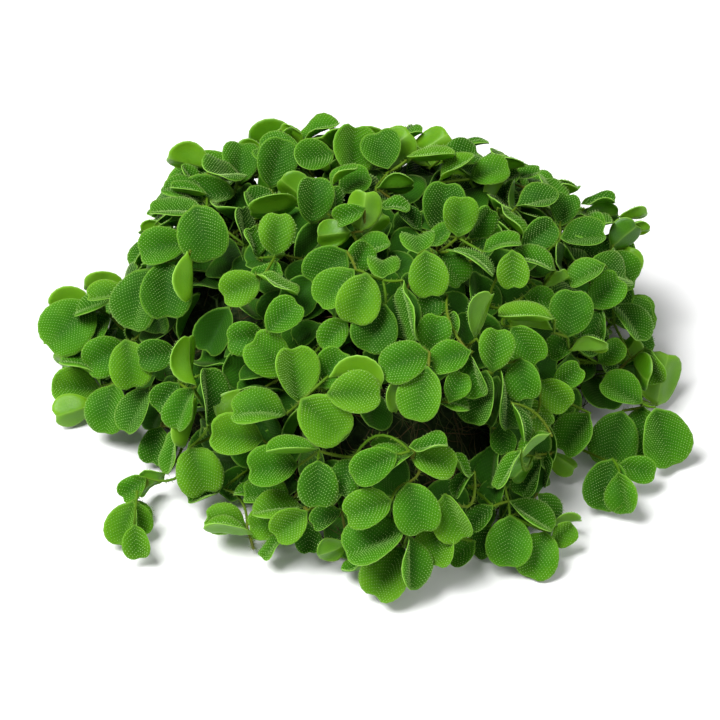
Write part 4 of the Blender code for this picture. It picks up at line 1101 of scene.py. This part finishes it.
def tuft_places(form, chance):
    """Across and along of each tuft: rows that run out and to the tip from the midrib."""
    leaf = form.leaf
    columns = int(TUFT_ACROSS * leaf.width / TUFT_SPACING) + 1
    rows = int(TUFT_ALONG * leaf.length / TUFT_ROWS) + 1
    across, along = [], []
    for side in (-1.0, 1.0):
        for column in range(columns):
            for row in range(-rows, rows):
                out = (column + (TUFT_FIRST + TUFT_STAGGER * row) % 1.0) * TUFT_SPACING
                across.append(side * out + chance.uniform(-TUFT_JITTER, TUFT_JITTER))
                ahead = row * TUFT_ROWS + (TUFT_SLOPE + TUFT_BEND * out) * out
                along.append(ahead + chance.uniform(-TUFT_JITTER, TUFT_JITTER))
    across, along = np.array(across), np.array(along)
    kept = form.polar(across, along)[0] < TUFT_LIMIT
    return across[kept], along[kept]


def add_tufts(mesh, form, chance):
    """Add a blade's tufts. Each is a stalk that widens to a flat, three-cornered end."""
    leaf = form.leaf
    across, along = tuft_places(form, chance)
    base = form.surface(across, along, 1.0)
    ahead = form.surface(across, along + TUFT_STEP, 1.0) - base
    right = form.surface(across + TUFT_STEP, along, 1.0) - base
    normal = np.cross(right, ahead)
    normal /= np.linalg.norm(normal, axis=1)[:, None]
    ahead /= np.linalg.norm(ahead, axis=1)[:, None]
    right = np.cross(ahead, normal)
    share, angle = form.polar(across, along)
    lean = right * np.sin(angle)[:, None] - ahead * np.cos(angle)[:, None]
    normal = normal + TUFT_LEAN * (lean * (share ** 2)[:, None])
    count = len(base)
    numbers = np.random.default_rng(chance.randrange(1 << 30))
    side = np.minimum(np.abs(across) / (0.5 * leaf.width), 1.0)
    height = TUFT_HEIGHT * chance.uniform(*TUFT_VIGOUR)
    height = height * (TUFT_IN_GROOVE + (1.0 - TUFT_IN_GROOVE) * side)
    height = height[:, None] * numbers.uniform(*TUFT_HEIGHTS, (count, 1))
    start = numbers.uniform(0.0, math.tau, (count, 1))
    points = np.empty((count, 4, 3))
    points[:, 0] = base - normal * TUFT_ROOT
    for tip in range(3):
        angle = start + tip * math.tau / 3.0
        spread = right * np.cos(angle) + ahead * np.sin(angle)
        raised = normal * height * (1.0 - TUFT_TIP_DROP * tip)
        points[:, 1 + tip] = base + raised + spread * TUFT_SPREAD
    one = np.array([(0, 2, 1), (0, 3, 2), (0, 1, 3), (1, 2, 3)])
    faces = (one[None] + 4 * np.arange(count)[:, None, None]).reshape(-1, 3)
    mesh.add(points.reshape(-1, 3), faces, LEAF_HAIR)


def along_curve(route, steps, wander, chance):
    """Points of a smooth curve along a route, with a small wander to its side."""
    start, end = route[0], route[-1]
    middle = route[1] if len(route) > 2 else (start + end) * 0.5
    side = (end - start).orthogonal().normalized()
    side.rotate(Matrix.Rotation(chance.uniform(0.0, math.tau), 3, (end - start).normalized()))
    control = middle * 2.0 - (start + end) * 0.5 + side * chance.uniform(0.0, 2.0 * wander)
    points = []
    for step in range(steps + 1):
        share = step / steps
        bent = start * (1.0 - share) ** 2 + control * 2.0 * share * (1.0 - share)
        points.append(bent + end * share ** 2)
    return points


def add_tube(mesh, points, radii, sides, slot, tone):
    """Add a closed tube along points, with rounded ends."""
    rings, faces = [], []
    reference = (points[1] - points[0]).normalized().orthogonal().normalized()
    ends = len(points) * sides
    for index, point in enumerate(points):
        way = (points[min(index + 1, len(points) - 1)] - points[max(index - 1, 0)]).normalized()
        reference = (reference - way * reference.dot(way)).normalized()
        other = way.cross(reference)
        for side in range(sides):
            angle = math.tau * side / sides
            out = reference * math.cos(angle) + other * math.sin(angle)
            rings.append(point + out * radii[index])
            a, b = index * sides + side, index * sides + (side + 1) % sides
            if b + sides < ends:
                faces += [(a, b, b + sides), (a, b + sides, a + sides)]
    first = points[0] + (points[0] - points[1]).normalized() * radii[0]
    last = points[-1] + (points[-1] - points[-2]).normalized() * radii[-1]
    for side in range(sides):
        after = (side + 1) % sides
        faces += [(ends, after, side), (ends + 1, ends - sides + side, ends - sides + after)]
    mesh.add([*rings, first, last], faces, slot, tone)


def add_stem(mesh, hairs, route, chance):
    """Add a rhizome or root along a route, and its hairs."""
    points = along_curve(route, STEM_STEPS, STEM_WANDER, chance)
    radii = []
    for step in range(len(points)):
        share = abs(2.0 * step / STEM_STEPS - 1.0)
        slim = STEM_SLIM * (1.0 - (1.0 - STEM_THIN) * share)
        radii.append(STEM_RADIUS * slim * chance.uniform(*STEM_UNEVEN))
    add_tube(mesh, points, radii, STEM_SIDES, STEM, chance.uniform(-1.0, 1.0))
    length = sum((after - before).length for before, after in zip(points, points[1:]))
    for _ in range(int(length * STEM_HAIRS_PER_METRE)):
        place = chance.uniform(0.0, STEM_STEPS - STEM_HAIR_END)
        index = int(place)
        spot = points[index].lerp(points[index + 1], place - index)
        way = (points[index + 1] - points[index]).normalized()
        out = any_way(way, chance)
        lean = way * chance.uniform(-STEM_HAIR_LEAN, STEM_HAIR_LEAN)
        tip = spot + out * radii[index]
        tip = tip + (out + lean).normalized() * chance.uniform(*STEM_HAIR_LENGTHS)
        add_hair(hairs, spot + out * radii[index] * STEM_HAIR_ROOT, tip, way, STEM_HAIR)


def add_hair(mesh, root, tip, way, slot):
    """Add one straight hair: a thin three-sided spike."""
    out = (tip - root).normalized()
    first = out.cross(way).normalized() * STEM_HAIR_WIDTH
    second = out.cross(first)
    corners = [root + first * across + second * along for across, along in HAIR_CORNERS]
    mesh.add([*corners, tip], [(0, 1, 3), (1, 2, 3), (2, 0, 3), (0, 2, 1)], slot)


def surface_point(direction):
    """The mat's surface in a direction from its middle."""
    low, high = 0.0, MAT_FARTHEST
    for _ in range(MAT_HALVINGS):
        reach = 0.5 * (low + high)
        if mat_level(direction * reach) < 1.0:
            low = reach
        else:
            high = reach
    return direction * low


def add_thread(mesh, chance):
    """Add one thread of the mat: it wanders over the mat's surface."""
    height = chance.uniform(0.0, 1.0) ** THREAD_LOWNESS
    direction = dome_direction(chance.uniform(0.0, math.tau), height)
    length = chance.uniform(*THREAD_LENGTHS)
    way = any_way(direction, chance)
    lift = chance.uniform(*THREAD_LIFTS)
    width = chance.uniform(*THREAD_WIDTHS)
    points, radii = [], []
    for step in range(THREAD_STEPS + 1):
        share = step / THREAD_STEPS
        raised = lift * math.sin(math.pi * share) + chance.uniform(0.0, THREAD_ROUGH) - THREAD_SINK
        point = surface_point(direction) + direction * raised
        point.z = max(point.z, 2.0 * width)
        points.append(point)
        radii.append(width * (1.0 - THREAD_TAPER * share))
        way.rotate(Matrix.Rotation(chance.gauss(0.0, THREAD_WANDER), 3, direction))
        direction = (direction + way * (length / THREAD_STEPS / point.length)).normalized()
        direction.z = max(direction.z, 0.0)
        way = (way - direction * way.dot(direction)).normalized()
    add_tube(mesh, points, radii, THREAD_SIDES, THREAD, chance.uniform(-1.0, 1.0))


def add_under_thread(mesh, chance):
    """Add one thread of the mat's underside, which lies flat and stays inside its edge."""
    start, heading = chance.uniform(0.0, math.tau), chance.uniform(0.0, math.tau)
    point = dome_direction(start, 0.0) * BOTTOM_REACH * math.sqrt(chance.random())
    width = BOTTOM_THICKER * chance.uniform(*THREAD_WIDTHS)
    step = chance.uniform(*THREAD_LENGTHS) / THREAD_STEPS
    points, radii = [], []
    while len(points) <= THREAD_STEPS and mat_level(point) < BOTTOM_EDGE:
        points.append(Vector((point.x, point.y, width + chance.uniform(0.0, BOTTOM_LIFT))))
        radii.append(width * (1.0 - THREAD_TAPER * len(points) / THREAD_STEPS))
        heading += chance.gauss(0.0, BOTTOM_WANDER)
        point = point + dome_direction(heading, 0.0) * step
    if len(points) > 2:
        add_tube(mesh, points, radii, THREAD_SIDES, BOTTOM_THREAD, chance.uniform(-1.0, 1.0))


def mat_body(look):
    """The mat under its threads: the frame's solid with a rough, matted surface."""
    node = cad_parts["root_mat"]
    mesh = node.data.copy()
    mesh.name = "root_mat_body"
    mesh.transform(node.matrix_world)
    thing = show("root_mat_body", mesh)
    cuts = thing.modifiers.new("cuts", "SUBSURF")
    cuts.subdivision_type = "SIMPLE"
    cuts.levels = MAT_CUTS
    cuts.render_levels = MAT_CUTS
    depsgraph = bpy.context.evaluated_depsgraph_get()
    fine = bpy.data.meshes.new_from_object(thing.evaluated_get(depsgraph))
    thing.modifiers.clear()
    thing.data = fine
    for vert in fine.vertices:
        place = vert.co * MAT_GRAIN
        rough = noise.noise(place) + MAT_FINER_SHARE * noise.noise(place * MAT_FINER)
        if vert.co.z > MAT_FLAT:
            vert.co -= vert.co.normalized() * (MAT_ROUGHNESS * (0.5 + 0.5 * rough))
        vert.co.z = max(vert.co.z, BOTTOM_LIFT * (1.0 + 0.5 * rough))
    fine.materials.clear()
    fine.materials.append(look)
    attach(thing, "root")
    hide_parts("root_mat")


class Look:
    """A node material under construction: its nodes are added by short calls."""

    def __init__(self, name):
        self.material = bpy.data.materials.new(name)
        self.material.use_nodes = True
        self.tree = self.material.node_tree
        self.shader = self.tree.nodes["Principled BSDF"]

    def put(self, socket, value):
        """Link an input to a socket, or set it to a value or a colour."""
        if isinstance(value, bpy.types.NodeSocket):
            self.tree.links.new(value, socket)
        else:
            socket.default_value = (*value, 1.0) if socket.type == "RGBA" else value

    def node(self, kind, inputs=None, **settings):
        """Add a node, set its settings, and set or link its inputs."""
        made = self.tree.nodes.new(kind)
        for key, value in settings.items():
            setattr(made, key, value)
        for key, value in (inputs or {}).items():
            self.put(made.inputs[key], value)
        return made

    def maths(self, operation, first, second=0.0, third=0.0):
        """The result of a Math node."""
        made = self.node("ShaderNodeMath", {0: first, 1: second, 2: third}, operation=operation)
        return made.outputs[0]

    def times(self, first, second):
        return self.maths("MULTIPLY", first, second)

    def fit(self, value, low, high, start=0.0, end=1.0):
        """A value's way from low to high as a way from start to end."""
        inputs = {0: value, 1: low, 2: high, 3: start, 4: end}
        return self.node("ShaderNodeMapRange", inputs).outputs[0]

    def noise(self, scale, detail=3.0, stretch=None, turn=0.0, twist=0.0):
        """Noise over the object's own coordinates, stretched, turned about Z and twisted."""
        place = self.node("ShaderNodeTexCoord").outputs["Object"]
        if stretch:
            settings = {"Vector": place, "Rotation": (0.0, 0.0, turn)}
            place = self.node("ShaderNodeMapping", settings).outputs[0]
            place = self.node("ShaderNodeMapping", {"Vector": place, "Scale": stretch}).outputs[0]
        settings = {"Vector": place, "Scale": scale, "Detail": detail, "Distortion": twist}
        return self.node("ShaderNodeTexNoise", settings).outputs["Fac"]

    def ramp(self, factor, *stops):
        """Colours along a factor. Each stop is a place and a colour."""
        made = self.node("ShaderNodeValToRGB", {"Fac": factor})
        elements = made.color_ramp.elements
        while len(elements) < len(stops):
            elements.new(0.5)
        for element, (place, colour) in zip(elements, stops):
            element.position = place
            element.color = (*colour, 1.0)
        return made.outputs["Color"]

    def mix(self, factor, first, second):
        """One colour over another."""
        made = self.node("ShaderNodeMix", {0: factor, 6: first, 7: second}, data_type="RGBA")
        return made.outputs[2]

    def attribute(self, name, output="Fac"):
        """A value that the mesh keeps for each point."""
        return self.node("ShaderNodeAttribute", attribute_name=name).outputs[output]

    def speckle(self, scale, share, least):
        """A value that noise raises from a least one."""
        return self.maths("MULTIPLY_ADD", self.noise(scale), share, least)

    def finish(self, colour, roughness, height, bump, others):
        """Set the shader's colour and roughness, a bump if there is a height, and the others."""
        settings = dict(others)
        if height is not None:
            inputs = {"Height": height, "Distance": bump[0], "Strength": bump[1]}
            settings["Normal"] = self.node("ShaderNodeBump", inputs).outputs[0]
        settings.update({"Base Color": colour, "Roughness": roughness})
        for key, value in settings.items():
            self.put(self.shader.inputs[key], value)
        return self.material


def leaf_parts(look):
    """A leaf material's shade with its mottle, and across, along and ring share."""
    spot = look.node("ShaderNodeSeparateXYZ", {0: look.attribute("spot", "Vector")}).outputs
    shade = look.maths("MULTIPLY_ADD", look.attribute("tone"), 0.5, 0.5)
    mottle = look.maths("SUBTRACT", look.noise(LEAF_MOTTLE_SCALE), 0.5)
    return look.maths("MULTIPLY_ADD", mottle, LEAF_MOTTLE, shade), spot[0], spot[1], spot[2]


def bell(look, value, width):
    """1 where a value is 0, falling to 0 over a width."""
    scaled = look.maths("DIVIDE", value, width)
    return look.maths("DIVIDE", 1.0, look.maths("ADD", look.times(scaled, scaled), 1.0))


def leaf_top_look():
    """The satin green upper side, with rows of bumps and a midrib groove. Painted shade darkens
    its middle and groove, and a painted highlight lightens its rim.
    """
    look = Look("leaf_top")
    shade, across, along, share = leaf_parts(look)
    green, outer, pale = [look.ramp(shade, *stops) for stops in (TOP_GREEN, TOP_LIT_OUTER, TOP_DOTS)]
    # Painted light and shade: the middle stays darker, the outer part turns lighter.
    outer_lit = look.mix(look.times(look.maths("POWER", share, 2.0), TOP_LIT_OUTER_SHARE), green, outer)
    out = look.maths("ABSOLUTE", across)
    slope = look.maths("MULTIPLY_ADD", out, -TUFT_BEND / MILLIMETRES, -TUFT_SLOPE)
    back = look.maths("MULTIPLY_ADD", out, slope, along)
    row = look.maths("DIVIDE", back, TUFT_ROWS * MILLIMETRES)
    shift = look.maths("MULTIPLY_ADD", look.maths("ROUND", row), -TUFT_STAGGER, -TUFT_FIRST)
    column = look.maths("MULTIPLY_ADD", out, 1.0 / MILLIMETRES / TUFT_SPACING, shift)
    row_off = look.times(look.maths("PINGPONG", row, 0.5), DOT_SQUEEZE)
    column_off = look.maths("PINGPONG", column, 0.5)
    squared = look.maths("MULTIPLY_ADD", row_off, row_off, look.times(column_off, column_off))
    dots = look.fit(look.maths("SQRT", squared), *DOT_EDGES, 1.0, 0.0)
    patchy = look.fit(look.noise(DOT_PATCH_SCALE, 1.0), *DOT_PATCHES)
    dotted = look.mix(look.times(dots, patchy), outer_lit, pale)
    # Painted shade in the midrib groove, fading from base to tip.
    groove_shade = look.times(bell(look, across, GROOVE_SHADE_WIDTH), look.fit(along, *GROOVE_SHADE_FADE))
    # Painted highlight along the rim.
    edge = look.times(look.fit(share, TOP_EDGE_START, 1.0), TOP_EDGE_SHARE)
    rimmed = look.mix(edge, look.mix(groove_shade, dotted, GROOVE_SHADE), TOP_EDGE_HIGHLIGHT)
    return look.finish(rimmed, look.speckle(*TOP_ROUGHNESS), dots, TOP_BUMP, TOP_SHADER)


def leaf_under_look():
    """The smooth yellow-green under side, with a raised midrib and a net of faint veins."""
    look = Look("leaf_under")
    shade, across, _, share = leaf_parts(look)
    outer = look.maths("POWER", share, 2.0)
    centred = look.maths("MULTIPLY_ADD", outer, -UNDER_MIDDLE_SHARE, UNDER_MIDDLE_SHARE)
    green = look.mix(centred, look.ramp(shade, *UNDER_GREEN), UNDER_MIDDLE)
    inputs = {"Vector": look.attribute("spot", "Vector"), "Scale": VEINS_PER_MILLIMETRE}
    veins = look.node("ShaderNodeTexVoronoi", inputs, feature="DISTANCE_TO_EDGE",
                      voronoi_dimensions="2D").outputs["Distance"]
    net = look.fit(veins, 0.0, VEIN_WIDTH, 1.0, 0.0)
    veined = look.mix(look.times(net, UNDER_VEIN_SHARE), green, UNDER_VEINS)
    rib = bell(look, across, RIB_WIDTH)
    ribbed = look.mix(look.times(rib, UNDER_RIB_SHARE), veined, UNDER_RIB)
    # Painted highlight along the rim.
    edge = look.fit(share, UNDER_EDGE_START, 1.0)
    rimmed = look.mix(look.times(edge, UNDER_EDGE_SHARE), ribbed, UNDER_EDGE_HIGHLIGHT)
    rough = look.speckle(*UNDER_ROUGHNESS)
    height = look.maths("MULTIPLY_ADD", net, -UNDER_VEIN_DEPTH, rib)
    return look.finish(rimmed, rough, height, UNDER_BUMP, UNDER_SHADER)


def plain_look(name):
    """One of the plain looks: a palette over noise, with the tone and a fine grain in some."""
    stops, scale, detail, tone, grain, roughness, specular = PLAIN_LOOKS[name]
    look = Look(name)
    factor = look.noise(scale, detail)
    if tone:
        factor = look.maths("MULTIPLY_ADD", look.attribute("tone"), tone, factor)
    height = look.noise(grain, 2.0) if grain else None
    return look.finish(look.ramp(factor, *stops), roughness, height, PLAIN_BUMP,
                       {"Specular IOR Level": specular})


def mat_look():
    """The matted inside under the threads: near-black with painted shade, with fine crossed
    fibres.
    """
    look = Look("mat")
    fibres = None
    for stretch, turn in FIBRE_WAYS:
        layer = look.noise(FIBRE_SCALE, FIBRE_DETAIL, stretch, turn, FIBRE_TWIST)
        fibres = look.maths("MAXIMUM", fibres, layer) if fibres else layer
    return look.finish(look.ramp(fibres, *MAT_FIBRES_AND_SHADE), MAT_DULLNESS, fibres, MAT_BUMP, MAT_SHADER)


def add_light(name, place, size, power):
    """A square soft light that looks at the clump."""
    light = bpy.data.lights.new(name, "AREA")
    light.size = size
    light.energy = power
    thing = show(name, light)
    thing.location = place
    thing.rotation_euler = (place - VIEW_AIM).to_track_quat("Z", "Y").to_euler()


def stage():
    """Floor, lights, world and camera."""
    mesh = bpy.data.meshes.new("floor")
    half = 0.5 * FLOOR_SIZE
    corners = [(-half, -half, 0), (half, -half, 0), (half, half, 0), (-half, half, 0)]
    mesh.from_pydata(corners, [], [(0, 1, 2, 3)])
    mesh.materials.append(plain_look("floor"))
    floor = show("floor", mesh)

    add_light("key", KEY_PLACE, KEY_SIZE, KEY_POWER)
    add_light("fill", FILL_PLACE, FILL_SIZE, FILL_POWER)
    world = bpy.data.worlds.new("studio")
    world.use_nodes = True
    background = world.node_tree.nodes["Background"]
    background.inputs["Color"].default_value = (1.0, 1.0, 1.0, 1.0)
    background.inputs["Strength"].default_value = WORLD_STRENGTH
    bpy.context.scene.world = world
    bpy.context.scene.view_settings.view_transform = "Standard"

    camera = show("camera", bpy.data.cameras.new("camera"))
    camera.data.lens = CAMERA_LENS
    camera.location = VIEW_EYE
    camera.rotation_euler = VIEW_BACK.to_track_quat("Z", "Y").to_euler()
    bpy.context.scene.camera = camera


def dress_plants():
    """Replace each plant of the frame by its fine form."""
    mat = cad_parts["root_mat"]
    mat_tree = BVHTree.FromObject(mat, bpy.context.evaluated_depsgraph_get())
    tangle = Tangle()
    place_seen_leaves(tangle, SEEN_LEAVES)
    seen = len(tangle.leaves)
    place_spiral_leaves(tangle, SPIRAL_PLACES, SPIRAL_INSET, SPIRAL_FACES_CAMERA)
    plant_of = join_plants(tangle)
    add_roots(tangle, plant_of, mat_tree)
    keys = sorted(set(plant_of))
    fill_gaps(tangle)
    join_fillers(tangle, plant_of)

    leaf_looks = [leaf_top_look(), leaf_under_look(), plain_look("leaf_rim"), plain_look("stem")]
    hair_looks = [plain_look("leaf_hair"), plain_look("stem_hair")]
    for number, key in enumerate(keys, start=1):
        leaves, hairs = Mesh(), Mesh()
        for index, leaf in enumerate(tangle.leaves):
            if plant_of[index] == key:
                chance = random.Random(index)
                form = Form(leaf, chance)
                add_blade(leaves, form, leaf_tone_and_shade(leaf, index < seen, chance))
                if heap_level(leaf.middle) > TUFT_DEEPEST:
                    add_tufts(hairs, form, chance)
        for index, (route, ends, _) in enumerate(tangle.links):
            if plant_of[ends[0]] == key:
                add_stem(leaves, hairs, route, random.Random(index))
        name = f"plant_{number:02d}"
        leaves.make(name + "_leaves", leaf_looks, name)
        hairs.make(name + "_hairs", hair_looks, name)


def dress_mat():
    """Replace the mat by its matted body and its threads."""
    mat_body(mat_look())
    threads = Mesh()
    chance = random.Random(MAT_SEED)
    for _ in range(THREADS):
        add_thread(threads, chance)
    for _ in range(BOTTOM_THREADS):
        add_under_thread(threads, chance)
    looks = [plain_look("thread"), plain_look("under_thread")]
    threads.make("root_mat_threads", looks, "root_mat")


stage()
dress_plants()
dress_mat()
